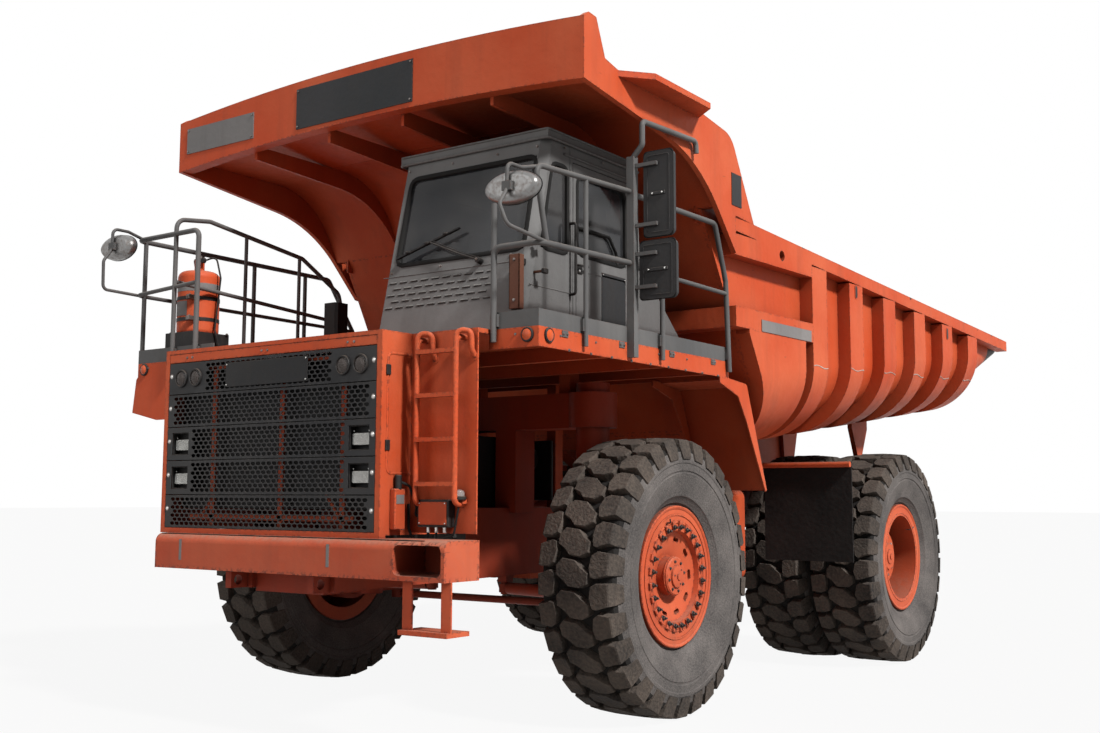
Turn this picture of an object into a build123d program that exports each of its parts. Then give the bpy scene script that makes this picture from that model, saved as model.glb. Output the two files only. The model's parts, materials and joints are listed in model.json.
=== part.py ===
"""Rigid-frame mining dump truck, 60-tonne class, as an assembly of separate solids.

Millimetres. +X is the truck's left, +Y is rearwards, +Z is up.
The origin lies on the ground under the middle of the overall box.
Lengths named *_y are stations measured rearwards from the front axle; st() turns one into a Y value.
"""
from build123d import *
from math import atan2, cos, degrees, hypot, radians, sin
import os

os.makedirs("parts", exist_ok=True)

# ---------------------------------------------------------------- overall sizes
wheelbase = 4190
front_overhang = 2440           # front axle to the bumper's face
rear_overhang = 3060            # rear axle to the body's tail
origin_y = (front_overhang - wheelbase - rear_overhang) / 2

# ---------------------------------------------------------------- wheels
tyre_r = 1055
tyre_width = 660
tread_width = 590
bead_r = 446
flange_r = 533
rim_width = 432
rim_wall = 28
front_wheel_x = 1757
rear_outer_x = 1976
dual_spacing = 745
axle_z = tyre_r

# ---------------------------------------------------------------- steering
kingpin_x = 1240
spindle_r = 95
steer_arm_back = 430            # tie-rod eye straight behind the kingpin
ram_arm_front = 240             # steering ram's eye straight ahead of the kingpin
ram_frame = (400, -50)         # steering ram's frame pin, x and station
ram_z = 900
ram_r = 48
ram_rod_r = 30
ram_barrel_end = 560            # from the frame pin
ram_rod_length = 640
ram_bore_from = 68
arm_z = (797, 857)              # steering arms, bottom and top
tie_rod_z = 754
tie_rod_r = 32
steer_pin_r = 30
spindle_end = 105               # spindle tip outboard of the wheel's centre plane
hub_inner = -60                 # hub's inner face from the wheel's centre plane
run_gap = 2                     # running clearance on pins and shafts
seat_gap = 0.3                  # between faces that seat but turn
part_gap = 8                    # clearance between bodies that pass each other

# ---------------------------------------------------------------- frame
rail_in_x = 350
rail_out_x = 500
rail_front_y = -2100
rail_low_z = 985
rail_top_z = 1560
rail_rear_y = wheelbase + 1140
rail_rise = ((1500, 1560), (2300, 1880))    # top edge climbs behind the deck
rail_rear_z = 1950
rail_arch = ((wheelbase - 940, 1050), (wheelbase - 540, 1420))    # bottom edge climbs over the axle
rail_rear_low_z = 1600
collar_half_y = 130
collar_low_z = 2200
collar_top_z = 2480
housing_r = 135
housing_z = (1500, 2560)
pivot_y = wheelbase + 960
pivot_z = 2000
pivot_r = 55
pivot_boss_r = 110
ear_t = 42
stringer_gap = 5                # between the body's stringers and the rails

# ---------------------------------------------------------------- dump body
body_front_half = 2170          # half width over the ribs at rail_start_y
rail_start_y = 1047
body_flare = 0.052              # half-width gained per unit of length
rail_z_start = 3933
rail_slope = -0.0594
bend_z_start = 2848
bend_start_y = 2319
floor_slope = 0.123
belly_r = 650
rib_depth = 125
plate = 30
last_rib_y = wheelbase + 2070
tail_y = wheelbase + rear_overhang
tail_floor_z = 3400
tail_r = 110
front_wall_foot = (1370, 2250)
front_wall_lean = (620 - 1370) / (3600 - 2250)
front_wall_t = 60
front_wall_low = 400            # station where the body's blocks start, ahead of the wall
rib_count = 6
rib_first_y = 2237
rib_pitch = 770
rib_width = 290
dump_angle = 50

# ---------------------------------------------------------------- canopy
lip_y = -1493
lip_low_z = 4492
lip_top_z = 4935
lip_crown = 95
lip_depth_top = 110
canopy_half = 2168
canopy_top_z = 4670
side_web = 45
canopy_plate = 60
canopy_foot_z = 3975            # the canopy stands on the front wall here
arch_start_y = -500
arch_r = 760

# ---------------------------------------------------------------- hoist
hoist_low = (wheelbase - 990, 900)
hoist_high = (wheelbase - 1190, 2120)
hoist_pin_r = 50
barrel_r = 118
hoist_x = rail_out_x + barrel_r + 22
stage_r = 94
rod_r = 70

# ---------------------------------------------------------------- front end, deck and cab
grille_y = -2330
cowl_half = 1130
cowl_low_z = 1395
deck_z = 2748
deck_plate = 30
fascia_depth = 132
deck_half = 2088
deck_front_y = -1893
deck_rear_y = 712
ladder_panel_y = -2040
ladder_panel_x = 1705
cab_in_x = 336
cab_out_x = 1720
cab_wall = 45
cab_roof_z = 4270
cab_front_top_y = -1280
cab_front_low_y = -1622
cab_rear_top_y = -110
cab_rear_mid = (-50, 3480)
cab_rear_low = (560, 2950)
glass = 8


def st(y):
    """Y value of a station measured rearwards from the front axle."""
    return origin_y + y


def block(x0, x1, y0, y1, z0, z1, mode=Mode.ADD):
    """Box between stations, given by its six faces."""
    with Locations(((x0 + x1) / 2, st((y0 + y1) / 2), (z0 + z1) / 2)):
        Box(abs(x1 - x0), abs(y1 - y0), abs(z1 - z0), mode=mode)


def side_profile(points, x0, x1, mode=Mode.ADD):
    """Polygon of (station, z) points, extruded from x0 to x1."""
    with BuildSketch(Plane.YZ.offset(x0)) as section:
        with BuildLine():
            Polyline(*[(st(y), z) for y, z in points], close=True)
        make_face()
    extrude(section.sketch, amount=x1 - x0, mode=mode)


def plan_profile(points, z0, z1, mode=Mode.ADD):
    """Polygon of (x, station) points, extruded from z0 to z1."""
    with BuildSketch(Plane.XY.offset(z0)) as section:
        with BuildLine():
            Polyline(*[(x, st(y)) for x, y in points], close=True)
        make_face()
    extrude(section.sketch, amount=z1 - z0, mode=mode)


def rod_x(x0, x1, y, z, radius, mode=Mode.ADD):
    """Round bar along X."""
    with Locations(((x0 + x1) / 2, st(y), z)):
        Cylinder(radius, abs(x1 - x0), rotation=(0, 90, 0), mode=mode)


def rod_y(x, y0, y1, z, radius, mode=Mode.ADD):
    """Round bar along Y."""
    with Locations((x, st((y0 + y1) / 2), z)):
        Cylinder(radius, abs(y1 - y0), rotation=(90, 0, 0), mode=mode)


def rod_z(x, y, z0, z1, radius, mode=Mode.ADD):
    """Round bar along Z."""
    with Locations((x, st(y), (z0 + z1) / 2)):
        Cylinder(radius, abs(z1 - z0), mode=mode)


def bar(p, q, radius, mode=Mode.ADD):
    """Round bar between two (x, station, z) points."""
    start = Vector(p[0], st(p[1]), p[2])
    run = Vector(q[0], st(q[1]), q[2]) - start
    with BuildSketch(Plane(origin=start, z_dir=run)) as section:
        Circle(radius)
    extrude(section.sketch, amount=run.length, mode=mode)


def pipe(points, radius, bend):
    """Bent tube along (x, station, z) points."""
    with BuildLine() as path:
        if len(points) > 2:
            FilletPolyline(*[(x, st(y), z) for x, y, z in points], radius=bend)
        else:
            Line(*[(x, st(y), z) for x, y, z in points])
    with BuildSketch(Plane(origin=path.line @ 0, z_dir=path.line % 0)) as section:
        Circle(radius)
    sweep(section.sketch, path=path.line)


def body_half(y):
    """Half width of the dump body over its ribs."""
    return body_front_half + body_flare * (y - rail_start_y)


def body_top(y):
    return rail_z_start + rail_slope * (y - rail_start_y)


def body_bend(y):
    """Height where the side turns into the round belly."""
    return bend_z_start + floor_slope * (y - bend_start_y)


def front_face_y(z):
    """Station of the body's slanted front face."""
    return front_wall_foot[0] + (z - front_wall_foot[1]) * front_wall_lean


def u_section(y, inset, top_z, bend_z, radius):
    """Closed U-shaped section of the body at a station, inset from the rib faces."""
    half = body_half(y) - inset
    with BuildSketch(Plane(origin=(0, st(y), 0), x_dir=(1, 0, 0), z_dir=(0, -1, 0))) as section:
        with BuildLine():
            low = bend_z - radius
            Line((half, top_z), (half, bend_z))
            RadiusArc((half, bend_z), (half - radius, low), radius)
            Line((half - radius, low), (radius - half, low))
            RadiusArc((radius - half, low), (-half, bend_z), radius)
            Line((-half, bend_z), (-half, top_z))
            Line((-half, top_z), (half, top_z))
        make_face()
    return section.sketch


def body_loft(inset, top_extra=0, tail=True, mode=Mode.ADD):
    """Solid block of the body: a straight part and the kicked-up tail."""
    radius = belly_r - inset
    first = u_section(front_wall_low, inset, body_top(front_wall_low) + top_extra, body_bend(front_wall_low), radius)
    mid = u_section(last_rib_y, inset, body_top(last_rib_y) + top_extra, body_bend(last_rib_y), radius)
    loft(sections=[first, mid], ruled=True, mode=mode)
    if tail:
        end = u_section(tail_y, inset, body_top(tail_y) + top_extra, tail_floor_z + tail_r,
                        tail_r + rib_depth - inset)
        loft(sections=[mid, end], ruled=True, mode=mode)


def front_profile(points, y0, y1, mode=Mode.ADD):
    """Polygon of (x, z) points, extruded from station y0 back to y1."""
    with BuildSketch(Plane(origin=(0, st(y0), 0), x_dir=(1, 0, 0), z_dir=(0, -1, 0))) as section:
        with BuildLine():
            Polyline(*points, close=True)
        make_face()
    extrude(section.sketch, amount=y0 - y1, mode=mode)


def revolved(points, x, y, z=axle_z, side=1):
    """Half section of (outboard, radius) points turned about an X axis."""
    with BuildSketch(Plane(origin=(x, st(y), z), x_dir=(1, 0, 0), z_dir=(0, -1, 0))) as section:
        with BuildLine():
            Polyline(*[(side * a, r) for a, r in points], close=True)
        make_face()
    revolve(section.sketch, axis=Axis((x, st(y), z), (1, 0, 0)))


def along(origin, angle, distance):
    """(station, z) point at a distance from a pin, the angle rising from +Y."""
    return (origin[0] + distance * cos(radians(angle)), origin[1] + distance * sin(radians(angle)))


def rail_top(y):
    """Top edge of the frame rail over its raised part."""
    (_, _), (y1, z1) = rail_rise
    return z1 + (y - y1) * (rail_rear_z - z1) / (rail_rear_y - y1)


def floor_low(y):
    """Underside of the body's floor plate between the ribs."""
    return body_bend(y) - belly_r + rib_depth


def ahead_of_wall(mode=Mode.SUBTRACT):
    """Everything ahead of the body's slanted front face."""
    side_profile([(front_face_y(1500), 1500), (front_face_y(5200), 5200), (-3500, 5200), (-3500, 1500)],
                 -3000, 3000, mode=mode)


# ================================================================ wheels
def tyre(x, y):
    """Tyre with open beads, as a horseshoe section turned about the axle."""
    half, seat, shoulder = tyre_width / 2, rim_width / 2, tread_width / 2
    wall, tread_t = 45, 75
    with BuildSketch(Plane(origin=(x, st(y), axle_z), x_dir=(1, 0, 0), z_dir=(0, -1, 0))) as section:
        with BuildLine():
            Line((seat, bead_r), (seat, flange_r + 12))
            ThreePointArc((seat, flange_r + 12), (half, 780), (shoulder + 8, tyre_r - 75))
            Line((shoulder + 8, tyre_r - 75), (shoulder, tyre_r - 14))
            ThreePointArc((shoulder, tyre_r - 14), (0, tyre_r), (-shoulder, tyre_r - 14))
            Line((-shoulder, tyre_r - 14), (-shoulder - 8, tyre_r - 75))
            ThreePointArc((-shoulder - 8, tyre_r - 75), (-half, 780), (-seat, flange_r + 12))
            Line((-seat, flange_r + 12), (-seat, bead_r))
            Line((-seat, bead_r), (wall - seat, bead_r))
            Line((wall - seat, bead_r), (wall - seat, flange_r + 12))
            ThreePointArc((wall - seat, flange_r + 12), (wall - half, 780), (wall - shoulder, tyre_r - tread_t))
            Line((wall - shoulder, tyre_r - tread_t), (shoulder - wall, tyre_r - tread_t))
            ThreePointArc((shoulder - wall, tyre_r - tread_t), (half - wall, 780), (seat - wall, flange_r + 12))
            Line((seat - wall, flange_r + 12), (seat - wall, bead_r))
            Line((seat - wall, bead_r), (seat, bead_r))
        make_face()
    revolve(section.sketch, axis=Axis((x, st(y), axle_z), (1, 0, 0)))


def rim_outline(hub_in, hub_r, bore_r, bore_end):
    """Half section of a front rim: flanges, barrel, clamp ring, dished disc and hub with a blind bore."""
    b, inner = rim_width / 2, bead_r - rim_wall
    face = b + rim_wall
    ring_in, ring_out = clamp_ring
    return [(hub_in, bore_r), (hub_in, hub_r), (dish_back, hub_r), (dish_back + 25, ring_in), (dish_back + 25, inner),
            (-face, inner), (-face, flange_r), (-b, flange_r), (-b, bead_r), (b, bead_r), (b, flange_r),
            (face, flange_r), (face, inner), (dish_back + 60, inner), (dish_back + 60, ring_out), (face, ring_out),
            (face, ring_in), (face - 40, ring_in - 10), (dish_back + 45, hub_cap_r + 15), (dish_back + 45, hub_cap_r),
            (face - 10, hub_cap_r), (face, hub_cap_r - 10), (face, 0), (bore_end, 0), (bore_end, bore_r)]


dish_back = 105                 # disc's inner face beside the hub, outboard of the wheel's centre plane
clamp_ring = (345, 395)         # radii of the ring that takes the wheel nuts
hub_cap_r = 145
front_hub_r = 205
hand_holes = 10
hand_hole_r = 285
for side, hand in ((1, "left"), (-1, "right")):
    with BuildPart() as front_tyre:
        tyre(side * front_wheel_x, 0)
    front_tyre.part.label = f"front_tyre_{hand}"
    export_step(front_tyre.part, f"parts/front_tyre_{hand}.step")

    with BuildPart() as front_rim:
        revolved(rim_outline(hub_inner, front_hub_r, spindle_r + run_gap, spindle_end + part_gap),
                 side * front_wheel_x, 0, side=side)
        with BuildSketch(Plane(origin=(side * front_wheel_x, st(0), axle_z), x_dir=(0, 1, 0), z_dir=(1, 0, 0))):
            with PolarLocations(hand_hole_r, hand_holes):
                SlotOverall(75, 30, rotation=90)
        extrude(amount=side * (rim_width / 2 + rim_wall), mode=Mode.SUBTRACT)
    front_rim.part.label = f"front_rim_{hand}"
    export_step(front_rim.part, f"parts/front_rim_{hand}.step")

rear_inner_x = rear_outer_x - dual_spacing
axle_tube_r = 200
rear_spindle_r = 125
rear_hub_r = 330
rear_hub_in = 960               # hub's inner face
rear_hub_out = 2095             # planetary cover's outer face
rear_spindle_out = 1750
for side, hand in ((1, "left"), (-1, "right")):
    with BuildPart() as rear_tyres:
        tyre(side * rear_outer_x, wheelbase)
        tyre(side * rear_inner_x, wheelbase)
    rear_tyres.part.label = f"rear_tyres_{hand}"
    export_step(rear_tyres.part, f"parts/rear_tyres_{hand}.step")

    with BuildPart() as rear_rims:
        b, inner = rim_width / 2, bead_r - rim_wall
        bore = rear_spindle_r + run_gap
        revolved([(rear_hub_in, bore), (rear_hub_in, rear_hub_r), (rear_inner_x + 40, rear_hub_r),
                  (rear_inner_x + 40, inner), (rear_inner_x - b - rim_wall, inner),
                  (rear_inner_x - b - rim_wall, flange_r), (rear_inner_x - b, flange_r), (rear_inner_x - b, bead_r),
                  (rear_inner_x + b, bead_r), (rear_inner_x + b, flange_r),
                  (rear_inner_x + b + rim_wall, flange_r), (rear_inner_x + b + rim_wall, inner),
                  (rear_inner_x + 90, inner), (rear_inner_x + 90, rear_hub_r),
                  (rear_outer_x - 90, rear_hub_r), (rear_outer_x - 90, inner), (rear_outer_x - b - rim_wall, inner),
                  (rear_outer_x - b - rim_wall, flange_r), (rear_outer_x - b, flange_r), (rear_outer_x - b, bead_r),
                  (rear_outer_x + b, bead_r), (rear_outer_x + b, flange_r),
                  (rear_outer_x + b + rim_wall, flange_r), (rear_outer_x + b + rim_wall, inner),
                  (rear_outer_x - 40, inner), (rear_outer_x - 40, rear_hub_r - 40),
                  (rear_outer_x + 70, rear_hub_r - 70), (rear_outer_x + 70, 150), (rear_hub_out, 130),
                  (rear_hub_out, 0), (rear_spindle_out + part_gap, 0), (rear_spindle_out + part_gap, bore)],
                 0, wheelbase, side=side)
    rear_rims.part.label = f"rear_rims_{hand}"
    export_step(rear_rims.part, f"parts/rear_rims_{hand}.step")


# ================================================================ steering
def arm(side, tip, z0, z1, root_w, tip_w):
    """Flat tapered lever from the kingpin to its eye, tip given relative to the kingpin."""
    length = hypot(*tip)
    ux, uy = tip[0] / length, tip[1] / length
    corners = [(-uy * root_w, ux * root_w), (tip[0] - uy * tip_w, tip[1] + ux * tip_w),
               (tip[0] + uy * tip_w, tip[1] - ux * tip_w), (uy * root_w, -ux * root_w)]
    plan_profile([(side * (kingpin_x + a), b) for a, b in corners], z0, z1)
    rod_z(side * (kingpin_x + tip[0]), tip[1], z0, z1, tip_w + 5)


strut_rod_r = 85
strut_rod_top = 1900
brake_r = 330
shoulder_r = 150
for side, hand in ((1, "left"), (-1, "right")):
    with BuildPart() as knuckle:
        rod_z(side * kingpin_x, 0, 780, 1330, shoulder_r)
        rod_z(side * kingpin_x, 0, axle_z, strut_rod_top, strut_rod_r)
        rod_x(side * kingpin_x, side * (front_wheel_x + spindle_end), 0, axle_z, spindle_r)
        rod_x(side * kingpin_x, side * (front_wheel_x + hub_inner - seat_gap), 0, axle_z, shoulder_r)
        rod_x(side * (kingpin_x + 165), side * (kingpin_x + 350), 0, axle_z, brake_r)
        arm(side, (0, steer_arm_back), arm_z[0], arm_z[1], 110, 60)
        arm(side, (0, -ram_arm_front), arm_z[0], arm_z[1], 100, 50)
        rod_z(side * kingpin_x, steer_arm_back, arm_z[0] - 1, arm_z[1] + 1, steer_pin_r + run_gap, mode=Mode.SUBTRACT)
    knuckle.part.label = f"knuckle_{hand}"
    export_step(knuckle.part, f"parts/knuckle_{hand}.step")

with BuildPart() as tie_rod:
    rod_x(-kingpin_x, kingpin_x, steer_arm_back, tie_rod_z, tie_rod_r)
    for side in (1, -1):
        rod_z(side * kingpin_x, steer_arm_back, tie_rod_z - 35, arm_z[0] - seat_gap, 60)
        rod_z(side * kingpin_x, steer_arm_back, tie_rod_z, arm_z[1] + 15, steer_pin_r)
tie_rod.part.label = "tie_rod"
export_step(tie_rod.part, "parts/tie_rod.step")

ram_eye = (kingpin_x, -ram_arm_front)
ram_length = hypot(ram_eye[0] - ram_frame[0], ram_eye[1] - ram_frame[1])
ram_dir = ((ram_eye[0] - ram_frame[0]) / ram_length, (ram_eye[1] - ram_frame[1]) / ram_length)
ram_pin_r = 25


def ram_point(side, distance):
    return (side * (ram_frame[0] + ram_dir[0] * distance), ram_frame[1] + ram_dir[1] * distance, ram_z)


for side, hand in ((1, "left"), (-1, "right")):
    with BuildPart() as steering_barrel:
        bar(ram_point(side, 46), ram_point(side, ram_barrel_end), ram_r)
        rod_z(side * ram_frame[0], ram_frame[1], ram_z - 35, ram_z + 35, 52)
        bar(ram_point(side, ram_bore_from), ram_point(side, ram_barrel_end + 1),
            ram_rod_r + run_gap, mode=Mode.SUBTRACT)
        rod_z(side * ram_frame[0], ram_frame[1], ram_z - 36, ram_z + 36, ram_pin_r + run_gap, mode=Mode.SUBTRACT)
    steering_barrel.part.label = f"steering_barrel_{hand}"
    export_step(steering_barrel.part, f"parts/steering_barrel_{hand}.step")

    with BuildPart() as steering_rod:
        bar(ram_point(side, ram_length - ram_rod_length), ram_point(side, ram_length), ram_rod_r)
        rod_z(side * ram_eye[0], ram_eye[1], ram_z - 35, ram_z + 35, 45)
    steering_rod.part.label = f"steering_rod_{hand}"
    export_step(steering_rod.part, f"parts/steering_rod_{hand}.step")


# ================================================================ frame and running gear
nose_pin = (wheelbase - 1290, 1060)
strut_x = 700
rear_strut_low = (wheelbase + 222, 1188)
rear_strut_high = (wheelbase + 330, 1690)
tow_eye_y = -2190
tow_eye_z = 1045
tow_eye_r = 36
hitch_y = wheelbase + 1240
hitch_z = 1755
with BuildPart() as main_frame:
    for side in (1, -1):
        side_profile([(rail_front_y, rail_low_z), rail_arch[0], rail_arch[1], (rail_rear_y, rail_rear_low_z),
                      (rail_rear_y, rail_rear_z), rail_rise[1], rail_rise[0], (rail_front_y, rail_top_z)],
                     side * rail_in_x, side * rail_out_x)
        rod_x(side * rail_in_x, side * rail_out_x, pivot_y, pivot_z, pivot_boss_r)
        rod_x(side * (rail_in_x - ear_t - part_gap), side * (rail_out_x + ear_t + part_gap), pivot_y, pivot_z, pivot_r)
        # horse collar that carries the front struts
        block(side * rail_in_x, side * (rail_out_x + 60), -collar_half_y, collar_half_y, rail_top_z - 40, collar_low_z)
        rod_z(side * kingpin_x, 0, collar_low_z, collar_top_z, housing_r + 60)
        # hoist pin bracket below the rail
        side_profile([(hoist_low[0] - 200, rail_low_z + 260), (hoist_low[0] + 160, rail_low_z + 260),
                      (hoist_low[0] + 80, hoist_low[1] - 90), (hoist_low[0] - 80, hoist_low[1] - 90)],
                     side * (rail_out_x - 40), side * (rail_out_x + 12))
        rod_x(side * (rail_out_x - 40), side * (hoist_x - 80 - seat_gap), hoist_low[0], hoist_low[1], 88)
        rod_x(side * (rail_out_x - 40), side * (hoist_x + 105), hoist_low[0], hoist_low[1], hoist_pin_r)
        rod_x(side * (hoist_x + 80 + seat_gap), side * (hoist_x + 105), hoist_low[0], hoist_low[1], 78)
        # steering ram bracket
        block(side * (ram_frame[0] - 45), side * (ram_frame[0] + 45), ram_frame[1] - 45, ram_frame[1] + 45,
              ram_z + 50, rail_low_z + 40)
        rod_z(side * ram_frame[0], ram_frame[1], ram_z + 35 + seat_gap, ram_z + 51, 38)
        rod_z(side * ram_frame[0], ram_frame[1], ram_z - 50, ram_z + 60, ram_pin_r)
        rod_z(side * ram_frame[0], ram_frame[1], ram_z - 50, ram_z - 35 - seat_gap, 38)
        # rear strut bracket
        block(side * (rail_out_x - 10), side * (strut_x + 60), rear_strut_high[0] - 90, rear_strut_high[0] + 90,
              rear_strut_high[1], rear_strut_high[1] + 110)
        # tow eyes below the bumper
        block(side * (rail_in_x + 45), side * (rail_out_x - 45), tow_eye_y - 65, rail_front_y + 20, tow_eye_z - 58, tow_eye_z + 58)
        rod_x(side * rail_in_x, side * rail_out_x, tow_eye_y, tow_eye_z, tow_eye_r, mode=Mode.SUBTRACT)
    block(-kingpin_x, kingpin_x, -collar_half_y, collar_half_y, collar_low_z, collar_top_z)
    for side in (1, -1):
        rod_z(side * kingpin_x, 0, collar_low_z - 1, collar_top_z + 1, housing_r, mode=Mode.SUBTRACT)
    block(-rail_in_x, rail_in_x, -collar_half_y, collar_half_y, rail_low_z, 1130)
    block(-rail_in_x, rail_in_x, rail_front_y + 40, rail_front_y + 200, 960, 1420)
    block(-rail_in_x, rail_in_x, 1900, 2060, 1500, 1640)
    block(-rail_in_x, rail_in_x, nose_pin[0] - 160, nose_pin[0] - 20, 1380, 1640)
    for side in (1, -1):
        side_profile([(nose_pin[0] - 160, 1400), (nose_pin[0] - 20, 1400), (nose_pin[0] + 60, 1120),
                      (nose_pin[0] + 60, 990), (nose_pin[0] - 60, 990), (nose_pin[0] - 160, 1120)],
                     side * 130, side * 180)
    rod_x(-180, 180, nose_pin[0], nose_pin[1], 45)
    rod_x(-rail_in_x, rail_in_x, pivot_y, hitch_z, 105)
    # towing hitch behind the rear cross tube
    block(-60, 60, pivot_y, hitch_y, hitch_z - 38, hitch_z + 38)
    rod_z(0, hitch_y, hitch_z - 38, hitch_z + 38, 75)
    rod_z(0, hitch_y, hitch_z - 40, hitch_z + 40, tow_eye_r, mode=Mode.SUBTRACT)
main_frame.part.label = "main_frame"
export_step(main_frame.part, "parts/main_frame.step")

with BuildPart() as suspension_struts:
    for side in (1, -1):
        rod_z(side * kingpin_x, 0, housing_z[0], housing_z[1], housing_r)
        rod_z(side * kingpin_x, 0, housing_z[0] - 1, strut_rod_top + part_gap, strut_rod_r + run_gap, mode=Mode.SUBTRACT)
        low, high = rear_strut_low, rear_strut_high
        middle = ((low[0] + high[0]) / 2, (low[1] + high[1]) / 2)
        bar((side * strut_x, low[0], low[1] + 60), (side * strut_x, middle[0], middle[1]), 68)
        bar((side * strut_x, middle[0], middle[1]), (side * strut_x, high[0] - 7, high[1] - 30), 88)
        block(side * (strut_x - 90), side * (strut_x + 90), high[0] - 88, high[0] + 88, high[1] - 40, high[1])
        rod_x(side * (strut_x - 72), side * (strut_x + 72), low[0], low[1] + 60, 80)
suspension_struts.part.label = "suspension_struts"
export_step(suspension_struts.part, "parts/suspension_struts.step")

banjo_r = 330
with BuildPart() as rear_axle:
    with Locations((0, st(wheelbase), axle_z)):
        Sphere(banjo_r)
    rod_x(-rear_hub_in + seat_gap, rear_hub_in - seat_gap, wheelbase, axle_z, axle_tube_r)
    rod_x(-rear_spindle_out, rear_spindle_out, wheelbase, axle_z, rear_spindle_r)
    rod_y(0, nose_pin[0] + 800, wheelbase, 1190, 165)
    for side in (1, -1):
        for x in (strut_x - 94, strut_x + 94):
            side_profile([(wheelbase, axle_z - 60), (wheelbase, axle_z + 120), (rear_strut_low[0] - 70, rear_strut_low[1] + 130),
                          (rear_strut_low[0] + 70, rear_strut_low[1] + 130), (rear_strut_low[0] + 70, rear_strut_low[1] - 40)],
                         side * (x - 20), side * (x + 20))
    plan_profile([(-100, nose_pin[0] + 110), (100, nose_pin[0] + 110), (300, wheelbase - 100), (-300, wheelbase - 100)],
                 950, 1120)
    rod_x(-120, 120, nose_pin[0], nose_pin[1], 104)
    block(-100, 100, nose_pin[0], nose_pin[0] + 130, 970, 1110)
    rod_x(-121, 121, nose_pin[0], nose_pin[1], 45, mode=Mode.SUBTRACT)
rear_axle.part.label = "rear_axle"
export_step(rear_axle.part, "parts/rear_axle.step")

engine_y = (-1500, 300)
transmission_y = (600, 1450)
with BuildPart() as engine_block:
    block(-300, 300, engine_y[0], engine_y[1], 1150, 2150)
    for y in (engine_y[0] + 150, engine_y[1] - 350):
        block(-rail_in_x, rail_in_x, y, y + 160, 1250, 1380)
engine_block.part.label = "engine_block"
export_step(engine_block.part, "parts/engine_block.step")

with BuildPart() as driveline:
    rod_y(0, engine_y[1], transmission_y[0], 1330, 75)
    block(-250, 250, transmission_y[0], transmission_y[1], 1080, 1560)
    block(-rail_in_x, rail_in_x, transmission_y[0] + 300, transmission_y[0] + 420, 1200, 1320)
    bar((0, transmission_y[1] - 10, 1320), (0, nose_pin[0] + 770, 1195), 62)
    rod_y(0, nose_pin[0] + 750, nose_pin[0] + 800, 1190, 68)
driveline.part.label = "driveline"
export_step(driveline.part, "parts/driveline.step")

tank_y = (1500, wheelbase - 1470)
tank_z = (860, 1730)
tank_out_x = 1200
flap_y = wheelbase - 1295
flap_x = (1330, 2230)
flap_z = (1050, 1940)


def tank(side, y0, y1):
    with BuildPart() as body:
        block(side * rail_out_x, side * tank_out_x, y0, y1, tank_z[0], tank_z[1])
        fillet(body.edges().filter_by(Axis.Y).sort_by(Axis.X)[-2:] if side > 0
               else body.edges().filter_by(Axis.Y).sort_by(Axis.X)[:2], 90)
        # bracket and tube that the mudflap hangs from
        block(side * (tank_out_x - 160), side * (tank_out_x - 100), y1 - 90, y1, tank_z[1] - 5, flap_z[1] + 55)
        block(side * (tank_out_x - 160), side * (tank_out_x - 100), y1 - 90, flap_y, flap_z[1] - 5, flap_z[1] + 55)
        rod_x(side * (tank_out_x - 160), side * flap_x[1], flap_y - 28, flap_z[1] + 25, 27)
    return body.part


with BuildPart() as hydraulic_tank:
    add(tank(1, tank_y[0] + 150, tank_y[1]))
hydraulic_tank.part.label = "hydraulic_tank"
export_step(hydraulic_tank.part, "parts/hydraulic_tank.step")

with BuildPart() as fuel_tank:
    add(tank(-1, tank_y[0], tank_y[1]))
fuel_tank.part.label = "fuel_tank"
export_step(fuel_tank.part, "parts/fuel_tank.step")

with BuildPart() as mudflaps:
    for side in (1, -1):
        block(side * flap_x[0], side * flap_x[1], flap_y, flap_y + 14, flap_z[0], flap_z[1] + 50)
        block(side * flap_x[0], side * flap_x[1], flap_y - 1, flap_y + 1, flap_z[1], flap_z[1] + 50)
mudflaps.part.label = "mudflaps"
export_step(mudflaps.part, "parts/mudflaps.step")


# ================================================================ hoist cylinders
def turned(point, angle):
    """(station, z) point carried round the dump hinge by a dump angle in degrees."""
    y, z, a = point[0] - pivot_y, point[1] - pivot_z, radians(angle)
    return (pivot_y + y * cos(a) + z * sin(a), pivot_z - y * sin(a) + z * cos(a))


hoist_open = turned(hoist_high, dump_angle)
hoist_length = hypot(hoist_high[0] - hoist_low[0], hoist_high[1] - hoist_low[1])
hoist_tilt = degrees(atan2(hoist_high[1] - hoist_low[1], hoist_high[0] - hoist_low[0]))
hoist_eye_r = 85
hoist_eye_w = 150
barrel_from, barrel_to = 125, hoist_length - 150
stage_from, stage_to = 150, hoist_length - 118


def hoist_bar(side, start, end, radius, mode=Mode.ADD):
    y0, z0 = along(hoist_low, hoist_tilt, start)
    y1, z1 = along(hoist_low, hoist_tilt, end)
    bar((side * hoist_x, y0, z0), (side * hoist_x, y1, z1), radius, mode=mode)


with BuildPart() as hoist_barrels:
    for side in (1, -1):
        hoist_bar(side, 60, barrel_to, barrel_r)
        block(side * (hoist_x - 130), side * (hoist_x + 130), hoist_low[0] - 110, hoist_low[0] + 110,
              hoist_low[1] - 130, hoist_low[1] + 110, mode=Mode.SUBTRACT)
        rod_x(side * (hoist_x - 80), side * (hoist_x + 80), hoist_low[0], hoist_low[1], 100)
        hoist_bar(side, 70, barrel_from + 10, 72)
        hoist_bar(side, barrel_from + 10, barrel_to + 1, stage_r + run_gap, mode=Mode.SUBTRACT)
        rod_x(side * (hoist_x - 81), side * (hoist_x + 81), hoist_low[0], hoist_low[1],
              hoist_pin_r + run_gap, mode=Mode.SUBTRACT)
hoist_barrels.part.label = "hoist_barrels"
export_step(hoist_barrels.part, "parts/hoist_barrels.step")

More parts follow.
